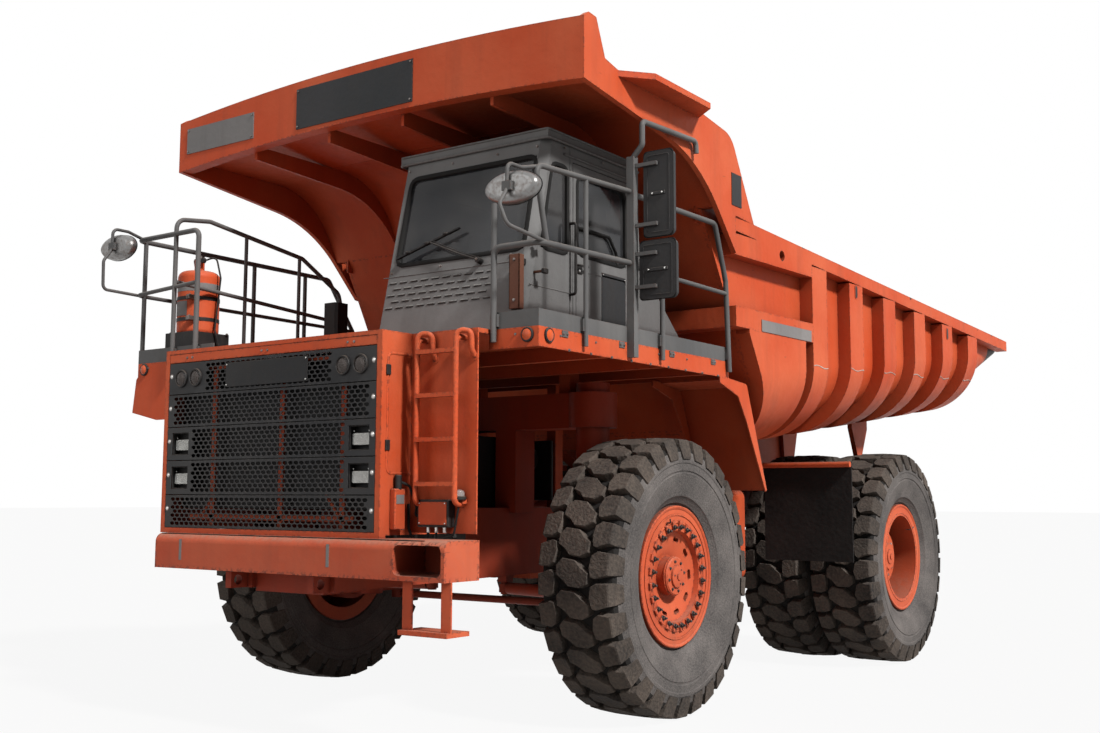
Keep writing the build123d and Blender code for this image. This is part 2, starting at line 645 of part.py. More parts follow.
with BuildPart() as hoist_stages:
    for side in (1, -1):
        hoist_bar(side, stage_from, stage_to, stage_r)
        hoist_bar(side, stage_from + 15, stage_to + 1, rod_r + run_gap, mode=Mode.SUBTRACT)
hoist_stages.part.label = "hoist_stages"
export_step(hoist_stages.part, "parts/hoist_stages.step")

with BuildPart() as hoist_rods:
    for side in (1, -1):
        hoist_bar(side, stage_from + 25, hoist_length, rod_r)
        rod_x(side * (hoist_x - hoist_eye_w / 2), side * (hoist_x + hoist_eye_w / 2), hoist_high[0], hoist_high[1], hoist_eye_r)
        rod_x(side * (hoist_x - hoist_eye_w / 2 - 1), side * (hoist_x + hoist_eye_w / 2 + 1),
              hoist_high[0], hoist_high[1], hoist_pin_r - 5, mode=Mode.SUBTRACT)
hoist_rods.part.label = "hoist_rods"
export_step(hoist_rods.part, "parts/hoist_rods.step")


# ================================================================ dump body
with BuildPart() as dump_tub:
    body_loft(rib_depth)
    body_loft(rib_depth + plate, top_extra=200, mode=Mode.SUBTRACT)
    ahead_of_wall()
dump_tub.part.label = "dump_tub"
export_step(dump_tub.part, "parts/dump_tub.step")

wall_run = front_wall_t * hypot(1, front_wall_lean)      # wall thickness measured along Y
with BuildPart() as dump_front_wall:
    body_loft(rib_depth + plate, top_extra=400, tail=False)
    low, high = 1500, canopy_foot_z
    side_profile([(front_face_y(low), low), (front_face_y(low) + wall_run, low),
                  (front_face_y(high) + wall_run, high), (front_face_y(high), high)], -3000, 3000, mode=Mode.INTERSECT)
dump_front_wall.part.label = "dump_front_wall"
export_step(dump_front_wall.part, "parts/dump_front_wall.step")

# stringers over the frame rails, hinge ears and hoist ears
stringer = [(1900, floor_low(1900)), (1900, 2090), (rail_rise[1][0] + 30, rail_top(rail_rise[1][0] + 30) + stringer_gap),
            (pivot_y - pivot_boss_r - 65, rail_top(pivot_y - pivot_boss_r - 65) + stringer_gap),
            (pivot_y - 60, pivot_z + pivot_boss_r + 20), (pivot_y + 180, pivot_z + pivot_boss_r + 20),
            (pivot_y + 450, floor_low(pivot_y + 450))]
hoist_ear_t = 36
with BuildPart() as dump_stringers:
    for side in (1, -1):
        side_profile(stringer, side * rail_in_x, side * rail_out_x)
        for x0, x1 in ((rail_in_x - part_gap - ear_t, rail_in_x - part_gap), (rail_out_x + part_gap, rail_out_x + part_gap + ear_t)):
            side_profile([(pivot_y - 180, floor_low(pivot_y - 180)), (pivot_y - pivot_boss_r, pivot_z),
                          (pivot_y + pivot_boss_r, pivot_z), (pivot_y + 330, floor_low(pivot_y + 330))], side * x0, side * x1)
            rod_x(side * x0, side * x1, pivot_y, pivot_z, pivot_boss_r)
            rod_x(side * x0, side * x1, pivot_y, pivot_z, pivot_r + run_gap, mode=Mode.SUBTRACT)
        block(side * (rail_in_x - part_gap - ear_t), side * (rail_out_x + part_gap + ear_t), pivot_y - 60, pivot_y + 160,
              pivot_z + 320, floor_low(pivot_y - 60) - 40)
        for x0 in (hoist_x - hoist_eye_w / 2 - part_gap - hoist_ear_t, hoist_x + hoist_eye_w / 2 + part_gap):
            side_profile([(hoist_high[0] - 260, floor_low(hoist_high[0] - 260)), (hoist_high[0] - 85, hoist_high[1]),
                          (hoist_high[0] + 85, hoist_high[1]), (hoist_high[0] + 260, floor_low(hoist_high[0] + 260))],
                         side * x0, side * (x0 + hoist_ear_t))
            rod_x(side * x0, side * (x0 + hoist_ear_t), hoist_high[0], hoist_high[1], 85)
            rod_x(side * x0, side * (x0 + hoist_ear_t), hoist_high[0], hoist_high[1], hoist_pin_r - 5, mode=Mode.SUBTRACT)
dump_stringers.part.label = "dump_stringers"
export_step(dump_stringers.part, "parts/dump_stringers.step")

ejector_x = (rear_outer_x + rear_inner_x) / 2
ejector_t = 50
ejector_y = (wheelbase + 226, wheelbase + 653)
ejector_tip = (wheelbase + 433, 1600)
with BuildPart() as rock_ejectors:
    for side in (1, -1):
        side_profile([(ejector_y[0], floor_low(ejector_y[0])), (ejector_y[0], 2400), (ejector_tip[0] - 60, 2105),
                      (ejector_tip[0] - 45, ejector_tip[1]), (ejector_tip[0] + 45, ejector_tip[1]),
                      (ejector_tip[0] + 60, 2105), (ejector_y[1], 2400), (ejector_y[1], floor_low(ejector_y[1]))],
                     side * (ejector_x - ejector_t / 2), side * (ejector_x + ejector_t / 2))
rock_ejectors.part.label = "rock_ejectors"
export_step(rock_ejectors.part, "parts/rock_ejectors.step")

band_h = 118
box_y = (720, rib_first_y - rib_width / 2)
box_low_z = 3635
sign_y = (914, rib_first_y - rib_width / 2)
sign_z = (3040, 3210)
bolster_y = (950, 1950)
with BuildPart() as dump_ribs:
    body_loft(0, tail=False)
    body_loft(rib_depth, top_extra=50, tail=False, mode=Mode.SUBTRACT)
    with BuildPart(mode=Mode.INTERSECT) as stations:
        for k in range(rib_count):
            y = rib_first_y + k * rib_pitch
            block(-3000, 3000, y - rib_width / 2, y + rib_width / 2, 1500, body_top(y + rib_width / 2) - band_h)
        block(-3000, 3000, bolster_y[0], bolster_y[1], 1500, sign_z[0])
    ahead_of_wall()
    add(dump_stringers.part, mode=Mode.SUBTRACT)
    add(rock_ejectors.part, mode=Mode.SUBTRACT)
dump_ribs.part.label = "dump_ribs"
export_step(dump_ribs.part, "parts/dump_ribs.step")


def band(y0, y1, top_drop, height, inset, mode=Mode.ADD):
    """Bar along both sides of the body, hung from the top edge's slope."""
    for side in (1, -1):
        ends = []
        for y in (y0, y1):
            outer, top = body_half(y), body_top(y) - top_drop
            with BuildSketch(Plane(origin=(0, st(y), 0), x_dir=(1, 0, 0), z_dir=(0, -1, 0))) as end:
                with BuildLine():
                    Polyline((side * outer, top), (side * (outer - inset), top),
                             (side * (outer - inset), top - height), (side * outer, top - height), close=True)
                make_face()
            ends.append(end.sketch)
        loft(sections=ends, ruled=True, mode=mode)


with BuildPart() as dump_side_rails:
    band(box_y[0], tail_y, 0, band_h, rib_depth)
    for side in (1, -1):
        for y0, y1, z0, z1 in ((box_y[0], box_y[1], box_low_z, body_top(box_y[1]) - 60), (sign_y[0] - 180, sign_y[1], sign_z[0], sign_z[1])):
            plan_profile([(side * body_half(y0), y0), (side * (body_half(y0) - rib_depth), y0),
                          (side * (body_half(y1) - rib_depth), y1), (side * body_half(y1), y1)], z0, z1)
    side_profile([(sign_y[0] - 180, sign_z[0]), (front_face_y(sign_z[0]), sign_z[0]),
                  (front_face_y(sign_z[1]), sign_z[1]), (sign_y[0] - 180, sign_z[1])],
                 rib_depth - body_half(sign_y[0]), body_half(sign_y[0]) - rib_depth)
    for y in (1534,):
        rod_x(-3000, 3000, y, 3744, 45, mode=Mode.SUBTRACT)
dump_side_rails.part.label = "dump_side_rails"
export_step(dump_side_rails.part, "parts/dump_side_rails.step")

lip_rear_y = lip_y + lip_depth_top
web_corner = (92, 4292)
web_corner_r = 1300
web_foot = (box_y[0], box_low_z + 5)


def crowned(y, z0, z1, crown):
    """Full-width section with its lower and upper edges bowed up in the middle."""
    with BuildSketch(Plane(origin=(0, st(y), 0), x_dir=(1, 0, 0), z_dir=(0, -1, 0))) as section:
        with BuildLine():
            ThreePointArc((-canopy_half, z0), (0, z0 + crown), (canopy_half, z0))
            Line((canopy_half, z0), (canopy_half, z1))
            ThreePointArc((canopy_half, z1), (0, z1 + crown), (-canopy_half, z1))
            Line((-canopy_half, z1), (-canopy_half, z0))
        make_face()
    return section.sketch


def skin_edge(rear):
    """Corner points of the canopy skin's lower edge, or of its upper edge."""
    drop, run = (0, wall_run) if rear else (canopy_plate, 0)
    top = canopy_top_z - drop
    return [(arch_start_y, top), (front_face_y(top) + run, top), (front_face_y(canopy_foot_z) + run, canopy_foot_z)]


canopy_low_z = canopy_top_z - canopy_plate
with BuildPart() as dump_canopy:
    loft(sections=[crowned(lip_y, lip_low_z, lip_top_z, lip_crown), crowned(lip_rear_y, lip_low_z, lip_top_z, lip_crown)], ruled=True)
    loft(sections=[crowned(lip_rear_y, canopy_low_z, canopy_top_z, lip_crown),
                   crowned(arch_start_y, canopy_low_z, canopy_top_z, 3)], ruled=True)
    # arch from the top plate down to the front wall
    with BuildSketch(Plane.YZ.offset(-canopy_half)) as skin:
        with BuildLine():
            under = FilletPolyline(*[(st(y), z) for y, z in skin_edge(False)], radius=arch_r)
            over = FilletPolyline(*[(st(y), z) for y, z in skin_edge(True)], radius=arch_r + canopy_plate)
            Line(under @ 0, over @ 0)
            Line(under @ 1, over @ 1)
        make_face()
    extrude(skin.sketch, amount=2 * canopy_half)
    # side webs with the raised rear edge and the ear at the lip
    with BuildSketch(Plane.YZ) as web:
        with BuildLine():
            low_edge = FilletPolyline(*[(st(y), z) for y, z in ((lip_y, lip_low_z), web_corner, web_foot)], radius=web_corner_r)
            back_edge = FilletPolyline(*[(st(y), z) for y, z in ((web_foot[0], body_top(web_foot[0])), (1051, body_top(1051)),
                                         (660, 4610), (180, canopy_top_z))], radius=(1, 230))
            Line(low_edge @ 1, back_edge @ 0)
            Polyline(back_edge @ 1, *[(st(y), z) for y, z in ((-1070, canopy_top_z), (-1230, 4705), (-1340, 4967),
                                      (-1435, 4976), (lip_y, lip_top_z), (lip_y, lip_low_z))])
        make_face()
    for side in (1, -1):
        extrude(web.sketch.moved(Location((side * canopy_half, 0, 0))), amount=-side * side_web)
    # inner webs under the skin
    with BuildSketch(Plane.YZ) as inner_web:
        with BuildLine():
            low_edge = FilletPolyline(*[(st(y), z) for y, z in ((lip_rear_y, lip_low_z), (120, 4420), (front_face_y(3600), 3600))],
                                      radius=web_corner_r - 300)
            up_edge = FilletPolyline(*[(st(y), z) for y, z in ((lip_rear_y, canopy_low_z), (front_face_y(canopy_low_z), canopy_low_z),
                                       (front_face_y(3600), 3600))], radius=arch_r)
            Line(low_edge @ 0, up_edge @ 0)
        make_face()
    for x in (-1280, -400, 400, 1280):
        extrude(inner_web.sketch.moved(Location((x - 15, 0, 0))), amount=30)
    # wings outside the webs
    for side in (1, -1):
        plan_profile([(side * (canopy_half - 5), -1070), (side * 2350, -850), (side * 2350, -30), (side * (canopy_half - 5), 120)],
                     4622, 4667)
dump_canopy.part.label = "dump_canopy"
export_step(dump_canopy.part, "parts/dump_canopy.step")


# ================================================================ bumper, cowl and grille
bumper_x = (-1035, 1783)
bumper_y = (-front_overhang, rail_front_y)
bumper_z = (1123, 1375)
bumper_edge_r = 65
step_box_x = (1353, 1755)
with BuildPart() as front_bumper:
    block(bumper_x[0], bumper_x[1], bumper_y[0], bumper_y[1], bumper_z[0], bumper_z[1])
    fillet(front_bumper.edges().filter_by(Axis.X).group_by(Axis.Z)[-1].sort_by(Axis.Y)[0], bumper_edge_r)
    # step opening under the ladder
    with BuildSketch(Plane(origin=((step_box_x[0] + step_box_x[1]) / 2, st(bumper_y[0] - 1), (bumper_z[0] + bumper_z[1]) / 2),
                           x_dir=(1, 0, 0), z_dir=(0, -1, 0))):
        RectangleRounded(step_box_x[1] - step_box_x[0], bumper_z[1] - bumper_z[0] - 60, 45)
    extrude(amount=-(bumper_y[1] - bumper_y[0] - 25), mode=Mode.SUBTRACT)
front_bumper.part.label = "front_bumper"
export_step(front_bumper.part, "parts/front_bumper.step")

cowl_wall = 45
cowl_rear_y = -1400
landing_t = 30
with BuildPart() as engine_cowl:
    for side in (1, -1):
        block(side * (cowl_half - cowl_wall), side * cowl_half, grille_y, cowl_rear_y, cowl_low_z, deck_z - deck_plate)
        # brackets to the frame
        block(side * rail_out_x, side * (cowl_half - cowl_wall), cowl_rear_y - 80, cowl_rear_y, rail_top_z - 120, rail_top_z - 30)
    block(-cowl_half, cowl_half, grille_y, deck_front_y, deck_z - deck_plate, deck_z)
    block(-cowl_half, cowl_half, grille_y, grille_y + 60, bumper_z[1], 1412)
    # ladder panel and landing beside the cowl
    block(cowl_half, ladder_panel_x, ladder_panel_y, ladder_panel_y + 12, cowl_low_z + 15, deck_z - landing_t)
    block(cowl_half, ladder_panel_x, ladder_panel_y, deck_front_y, deck_z - landing_t, deck_z)
engine_cowl.part.label = "engine_cowl"
export_step(engine_cowl.part, "parts/engine_cowl.step")

grille_half = cowl_half - cowl_wall
grille_lines = (1412, 1657, 1912, 2162, 2409, 2649)
lamp_side = 190
lamp_x = 930
with BuildPart() as radiator_grille:
    block(-grille_half, grille_half, grille_y + 14, grille_y + 24, grille_lines[0], deck_z - deck_plate)
    for z0, z1 in zip(grille_lines, grille_lines[1:]):
        block(-grille_half + 6, grille_half - 6, grille_y, grille_y + 14, z0 + 5, z1 - 5)
    for side in (1, -1):
        for z0, z1 in (grille_lines[1:3], grille_lines[2:4]):
            block(side * (lamp_x - lamp_side / 2), side * (lamp_x + lamp_side / 2), grille_y - 1, grille_y + 30,
                  (z0 + z1 - lamp_side) / 2, (z0 + z1 + lamp_side) / 2, mode=Mode.SUBTRACT)
radiator_grille.part.label = "radiator_grille"
export_step(radiator_grille.part, "parts/radiator_grille.step")

with BuildPart() as headlamps:
    for side in (1, -1):
        for z0, z1 in (grille_lines[1:3], grille_lines[2:4]):
            block(side * (lamp_x - lamp_side / 2), side * (lamp_x + lamp_side / 2), grille_y + 12, grille_y + 70,
                  (z0 + z1 - lamp_side) / 2, (z0 + z1 + lamp_side) / 2)
headlamps.part.label = "headlamps"
export_step(headlamps.part, "parts/headlamps.step")

radiator_y = (grille_y + 110, grille_y + 290)
with BuildPart() as radiator:
    block(-grille_half + 60, grille_half - 60, radiator_y[0], radiator_y[1], rail_top_z, 2640)
    for side in (1, -1):
        block(side * (grille_half - 60), side * grille_half, radiator_y[0] + 40, radiator_y[1] - 40, 1700, 2500)
radiator.part.label = "radiator"
export_step(radiator.part, "parts/radiator.step")

ladder_x = (1265, 1600)
ladder_y = ladder_panel_y - 95
ladder_z = (1600, deck_z - 60)
ladder_tube_r = 19
step_low_z = 800
with BuildPart() as boarding_ladder:
    for x in ladder_x:
        pipe([(x, ladder_panel_y, ladder_z[0]), (x, ladder_y, ladder_z[0]), (x, ladder_y, ladder_z[1]),
              (x, ladder_panel_y, ladder_z[1])], ladder_tube_r, 45)
    for k in range(4):
        z = ladder_z[0] + 130 + k * 290
        block(ladder_x[0], ladder_x[1], ladder_y - 22, ladder_y + 22, z - 14, z + 14)
    # hanging step under the bumper
    for x in (ladder_x[0] + 165, ladder_x[1] + 150):
        block(x - 40, x + 40, bumper_y[0] + 60, bumper_y[0] + 72, step_low_z, bumper_z[0])
    block(ladder_x[0] + 125, ladder_x[1] + 190, bumper_y[0] + 20, bumper_y[0] + 240, step_low_z - 12, step_low_z + 18)
boarding_ladder.part.label = "boarding_ladder"
export_step(boarding_ladder.part, "parts/boarding_ladder.step")


# ================================================================ deck
fascia_low_z = deck_z - fascia_depth
fascia_t = 16
toe_top_z = 2862
toe_t = 14
with BuildPart() as deck:
    block(-deck_half, deck_half, deck_front_y, deck_rear_y, deck_z - deck_plate, deck_z)
    for side in (1, -1):
        block(side * (deck_half - fascia_t), side * deck_half, deck_front_y, deck_rear_y, fascia_low_z, deck_z)
        # legs to the frame and to the horse collar
        block(side * (rail_in_x + 30), side * (rail_out_x - 30), -1750, -1640, rail_top_z, deck_z - 20)
        block(side * (rail_in_x + 30), side * (rail_out_x - 30), 560, 670, rail_top_z, deck_z - 20)
        block(side * 950, side * 1060, -60, 60, collar_top_z, deck_z - 20)
    block(ladder_panel_x - 25, deck_half, deck_front_y, deck_front_y + fascia_t, fascia_low_z, deck_z)
    block(-deck_half, -cowl_half, deck_front_y, deck_front_y + fascia_t, fascia_low_z, deck_z)
    block(-deck_half, deck_half, deck_rear_y - fascia_t, deck_rear_y, fascia_low_z, deck_z)
    for y in (-1100, -300, 350):
        block(-deck_half, deck_half, y, y + 60, fascia_low_z, deck_z - 20)
    # guard panel below the right front edge
    front_profile([(-2108, fascia_low_z), (-2147, 2340), (-1826, 2270), (-cowl_half, 2270), (-cowl_half, fascia_low_z + 20),
                   (-2088, fascia_low_z + 20)], deck_front_y, deck_front_y + 10)
deck.part.label = "deck"
export_step(deck.part, "parts/deck.step")

guard_inner_x = 1450
with BuildPart() as front_fenders:
    for side in (1, -1):
        for x0, x1 in ((guard_inner_x, guard_inner_x + 12), (deck_half - 12, deck_half)):
            side_profile([(565, fascia_low_z), (deck_rear_y, fascia_low_z), (1040, 2576), (1387, 1715), (1362, 1700),
                          (1030, 2275), (880, 2480), (565, 2570)], side * x0, side * x1)
        side_profile([(deck_rear_y - 20, fascia_low_z), (1022, 2590), (1040, 2576), (1387, 1715), (1375, 1710),
                      (1026, 2565), (deck_rear_y - 20, fascia_low_z - 14)], side * guard_inner_x, side * deck_half)
front_fenders.part.label = "front_fenders"
export_step(front_fenders.part, "parts/front_fenders.step")

bottle_at = (-1830, -1500)
bottle_r = 175
bottle_z = (deck_z + 245, 3560)
with BuildPart() as suppressant_tank:
    rod_z(*bottle_at, *bottle_z, bottle_r)
    fillet(suppressant_tank.edges().filter_by(GeomType.CIRCLE), 60)
    rod_z(*bottle_at, bottle_z[1] - 5, bottle_z[1] + 110, 42)
    # box base and the bracket behind the bottle
    block(bottle_at[0] - 180, bottle_at[0] + 180, bottle_at[1] - 190, bottle_at[1] + 190, deck_z, bottle_z[0] + 30)
    block(bottle_at[0] - 180, bottle_at[0] - 150, bottle_at[1] - 60, bottle_at[1] + 190, deck_z, bottle_z[1] - 80)
suppressant_tank.part.label = "suppressant_tank"
export_step(suppressant_tank.part, "parts/suppressant_tank.step")

with BuildPart() as relay_box:
    block(-1085, -917, -760, -600, deck_z, 3320)
    chamfer(relay_box.edges().filter_by(Axis.Z), 22)
relay_box.part.label = "relay_box"
export_step(relay_box.part, "parts/relay_box.step")


# ================================================================ cab
cab_side = [(cab_front_low_y, deck_z), (cab_front_top_y, cab_roof_z), (cab_rear_top_y, cab_roof_z),
            cab_rear_mid, cab_rear_low, (cab_rear_low[0], deck_z)]
cab_chamfer = 60
door_y = (-980, -205)
door_z = (2830, 4085)
door_gap = 6
shield_z = (3370, 4070)
shield_x = (cab_in_x + 120, cab_out_x - 70)
roof_cap = (12, 25, 70)         # roof's overhang at the sides and front, and its depth
pane_side = [(-1375, 3390), (-1235, 4030), (-1045, 4030), (-1045, 3390)]
pane_right = [(-1375, 3390), (-1235, 4030), (-260, 4030), (-260, 3390)]
pane_door = [(-925, 3410), (-925, 4005), (-262, 4005), (-262, 3410)]
hinge_pin = (cab_out_x + 20, door_y[1] - 3)   # x and station
hinge_z = (2960, 3900)
hinge_h = 60
hinge_r = 16
hinge_pin_r = 7
leaf_t = 14
pane_rear = (560, 1500, 3600, 4080)


def cab_front_y(z):
    """Station of the cab's raked front face."""
    return cab_front_low_y + (z - deck_z) * (cab_front_top_y - cab_front_low_y) / (cab_roof_z - deck_z)


def shield(y_in, y_out, mode=Mode.ADD):
    """Windscreen-shaped block, between two depths behind the cab's front face."""
    z0, z1 = shield_z
    side_profile([(cab_front_y(z0) + y_in, z0), (cab_front_y(z1) + y_in, z1), (cab_front_y(z1) + y_out, z1),
                  (cab_front_y(z0) + y_out, z0)], *shield_x, mode=mode)


with BuildPart() as cab_shell:
    side_profile(cab_side, cab_in_x, cab_out_x)
    raked = [e for e in cab_shell.edges() if abs(e.tangent_at(0.5).X) < 0.1 and abs(e.tangent_at(0.5).Z) > 0.9
             and e.center().Y < st(cab_front_top_y) and e.length > 1000]
    chamfer(raked, cab_chamfer)
    with BuildSketch(Plane.YZ.offset(cab_in_x + cab_wall)) as room:
        with BuildLine():
            Polyline(*[(st(y), z) for y, z in cab_side], close=True)
        make_face()
        offset(amount=-cab_wall, kind=Kind.INTERSECTION)
    extrude(room.sketch, amount=cab_out_x - cab_in_x - 2 * cab_wall, mode=Mode.SUBTRACT)
    shield(-60, 110, mode=Mode.SUBTRACT)
    side_profile(pane_side, cab_out_x - cab_wall - 1, cab_out_x + 1, mode=Mode.SUBTRACT)
    side_profile(pane_right, cab_in_x - 1, cab_in_x + cab_wall + 1, mode=Mode.SUBTRACT)
    block(pane_rear[0], pane_rear[1], cab_rear_top_y - 60, cab_rear_top_y + 100, pane_rear[2], pane_rear[3], mode=Mode.SUBTRACT)
    block(cab_out_x - cab_wall - 1, cab_out_x + 1, door_y[0], door_y[1], door_z[0], door_z[1], mode=Mode.SUBTRACT)
    # overhanging roof cap
    side_over, front_over, cap_h = roof_cap
    block(cab_in_x - side_over, cab_out_x + side_over, cab_front_top_y - front_over, cab_rear_top_y + side_over,
          cab_roof_z - cap_h, cab_roof_z)
    # lower half of each door hinge, with its pin
    for z in hinge_z:
        rod_z(hinge_pin[0], hinge_pin[1], z - hinge_h, z - seat_gap, hinge_r)
        rod_z(hinge_pin[0], hinge_pin[1], z - hinge_h, z + hinge_h, hinge_pin_r)
        block(cab_out_x - 1, cab_out_x + leaf_t, door_y[1], door_y[1] + 45, z - hinge_h, z - seat_gap)
cab_shell.part.label = "cab_shell"
export_step(cab_shell.part, "parts/cab_shell.step")

with BuildPart() as cab_glass:
    shield(15, 15 + glass)
    side_profile(pane_side, cab_out_x - 25, cab_out_x - 25 + glass)
    side_profile(pane_right, cab_in_x + 20, cab_in_x + 20 + glass)
    block(pane_rear[0], pane_rear[1], cab_rear_top_y - 12, cab_rear_top_y - 4, pane_rear[2], pane_rear[3])
cab_glass.part.label = "cab_glass"
export_step(cab_glass.part, "parts/cab_glass.step")

with BuildPart() as cab_door:
    block(cab_out_x - cab_wall, cab_out_x, door_y[0] + door_gap, door_y[1] - door_gap, door_z[0] + door_gap, door_z[1] - door_gap)
    side_profile(pane_door, cab_out_x - cab_wall - 1, cab_out_x + 1, mode=Mode.SUBTRACT)
    # upper half of each hinge
    for z in hinge_z:
        rod_z(hinge_pin[0], hinge_pin[1], z, z + hinge_h - 10, hinge_r)
        block(cab_out_x - 1, cab_out_x + leaf_t, hinge_pin[1] - 45, door_y[1] - door_gap, z, z + hinge_h - 10)
        rod_z(hinge_pin[0], hinge_pin[1], z - 1, z + hinge_h, hinge_pin_r + run_gap, mode=Mode.SUBTRACT)
cab_door.part.label = "cab_door"
export_step(cab_door.part, "parts/cab_door.step")

with BuildPart() as door_glass:
    side_profile(pane_door, cab_out_x - 25, cab_out_x - 25 + glass)
door_glass.part.label = "door_glass"
export_step(door_glass.part, "parts/door_glass.step")

floor_z = deck_z + cab_wall
seat_x = 1060
with BuildPart() as cab_interior:
    block(seat_x - 150, seat_x + 150, -830, -530, floor_z, floor_z + 330)
    block(seat_x - 260, seat_x + 260, -930, -420, floor_z + 325, floor_z + 450)
    side_profile([(-520, floor_z + 440), (-400, floor_z + 440), (-270, floor_z + 1080), (-380, floor_z + 1080)],
                 seat_x - 240, seat_x + 240)
    side_profile([(-1480, floor_z), (-1390, floor_z + 560), (-1190, floor_z + 500), (-1230, floor_z)],
                 cab_in_x + 200, cab_out_x - 200)
    bar((seat_x, -1260, floor_z + 380), (seat_x, -1070, floor_z + 700), 28)
    with Locations(Plane(origin=(seat_x, st(-1070), floor_z + 700), z_dir=(0, 190, 320))):
        Torus(200, 16)
        Box(390, 40, 18)
cab_interior.part.label = "cab_interior"
export_step(cab_interior.part, "parts/cab_interior.step")


# ================================================================ guard rails and mirrors
rail_tube_r = 21
post_off = rail_tube_r + 3
post_x = deck_half + post_off
front_rail_y = deck_front_y - post_off
post_r = rail_tube_r - 2
mid_rail_r = rail_tube_r - 4
corner_post_y = front_rail_y + 75
clamp_half = 30
clamp_z = (2762, 2846)                       # plates that bolt the posts to the toe boards
pole_y = -800
front_post_x = 1320                          # inner post of the loop at the right front edge
inner_rail_x = 1610
right_rail_z = 3800
arm_half = 13
mirror_boxes = ((2206, 2447, 3500, 4120), (2170, 2465, 3050, 3470))      # x0, x1, z0, z1
# side, station and height of each bowl mirror, then where its upper and lower arms leave the rails
bowl_mirrors = ((1, -2130, 3600, (-1880, 3796), (-1790, 3293)), (-1, -2110, 3700, (-1800, 3799), (-1790, 3329)))
bowl_x = 2075
bowl_size = (210, 105)                       # half width and half height
bowl_depth = 75
bowl_round = 45
loop_x = canopy_half + rail_tube_r + 15      # the mirror pole's top loop passes outside the canopy
with BuildPart() as guard_rails:
    for side in (1, -1):
        block(side * (deck_half - toe_t), side * deck_half, deck_front_y, deck_rear_y, deck_z, toe_top_z)
    block(ladder_panel_x, deck_half, deck_front_y, deck_front_y + toe_t, deck_z, toe_top_z)
    block(-deck_half, -cowl_half, deck_front_y, deck_front_y + toe_t, deck_z, toe_top_z)
    # post clamps
    for y in (-1387, -373, deck_rear_y - clamp_half):
        block(deck_half, post_x, y - clamp_half, y + clamp_half, *clamp_z)
    for y in (corner_post_y, -1250, -653, -20, 640):
        block(-post_x, -deck_half, y - clamp_half, y + clamp_half, *clamp_z)
    block(ladder_panel_x, ladder_panel_x + 2 * clamp_half, front_rail_y, deck_front_y, *clamp_z)
    for x in (front_post_x, inner_rail_x):
        block(-x - clamp_half, -x + clamp_half, front_rail_y, deck_front_y, *clamp_z)
    # left side
    pipe([(ladder_panel_x + 30, front_rail_y, 2660), (ladder_panel_x + 30, front_rail_y, 3290), (post_x, front_rail_y, 3290),
          (post_x, pole_y, 3320)], rail_tube_r, 60)
    bar((ladder_panel_x + 30, front_rail_y, 3200), (ladder_panel_x + 30, front_rail_y, 3590), post_r)
    pipe([(post_x, corner_post_y, 3292), (post_x, -1970, 3790), (post_x, pole_y, 3845)], post_r, 60)
    bar((post_x, -1387, 2660), (post_x, -1387, 3818), mid_rail_r)
    block(deck_half, deck_half + 60, pole_y - 30, pole_y + 30, 2640, 4100)
    pipe([(post_x, pole_y, 4080), (loop_x, pole_y, 4180), (loop_x, pole_y, 4355), (loop_x, -10, 4395), (loop_x, 0, 4300)],
         rail_tube_r, 40)
    bar((post_x, -373, 2660), (post_x, -373, 3300), post_r)
    pipe([(post_x, pole_y, 3830), (post_x, 459, 3844), (post_x, 636, 3396), (post_x, 682, 2660)], rail_tube_r, 60)
    bar((post_x, pole_y, 3300), (post_x, 650, 3296), mid_rail_r)
    # right side: rail across the front and along the edge, and a second rail beside the bottle
    pipe([(-front_post_x, front_rail_y, 2660), (-front_post_x, front_rail_y, right_rail_z),
          (-post_x, front_rail_y, right_rail_z), (-post_x, 290, right_rail_z - 15), (-post_x, 640, 3300),
          (-post_x, 640, 2660)], rail_tube_r, 60)
    pipe([(-front_post_x, front_rail_y, 3370), (-post_x, front_rail_y, 3330), (-post_x, 630, 3305)], mid_rail_r, 60)
    for y in (corner_post_y, -1250, -653, -20):
        bar((-post_x, y, 2660), (-post_x, y, right_rail_z - 5), post_r)
    pipe([(-inner_rail_x, front_rail_y, 2660), (-inner_rail_x, front_rail_y, 3920), (-inner_rail_x, -1579, 3963),
          (-inner_rail_x, -525, 3812), (-inner_rail_x, -60, 3550), (-inner_rail_x, 40, 3200), (-inner_rail_x, 40, deck_z)],
         post_r, 90)
    bar((-inner_rail_x, front_rail_y, 3400), (-inner_rail_x, 25, 3270), mid_rail_r)
    bar((-inner_rail_x, -1180, deck_z), (-inner_rail_x, -1180, 3905), mid_rail_r - 1)
    bar((-inner_rail_x, -560, deck_z), (-inner_rail_x, -560, 3815), mid_rail_r - 1)
    # arms of the mirrors
    for x0, x1, z0, z1 in mirror_boxes:
        for z in (z0 + 90, z1 - 90):
            block(deck_half + 30, (x0 + x1) / 2, pole_y - arm_half, pole_y + arm_half, z - arm_half, z + arm_half)
    for side, y, z, upper, lower in bowl_mirrors:
        nose = y - bowl_depth
        block(side * bowl_x - 35, side * bowl_x + 35, nose - 26, nose - seat_gap, z - 30, z + 30)
        pipe([(side * post_x, *upper), (side * bowl_x, y + 60, z + 150), (side * bowl_x, nose - 13, z + 150),
              (side * bowl_x, nose - 13, z + 20)], arm_half, 50)
        pipe([(side * post_x, *lower), (side * post_x, nose - 60, 3340), (side * bowl_x, nose - 90, z - 130),
              (side * bowl_x, nose - 13, z - 20)], arm_half, 50)
guard_rails.part.label = "guard_rails"
export_step(guard_rails.part, "parts/guard_rails.step")

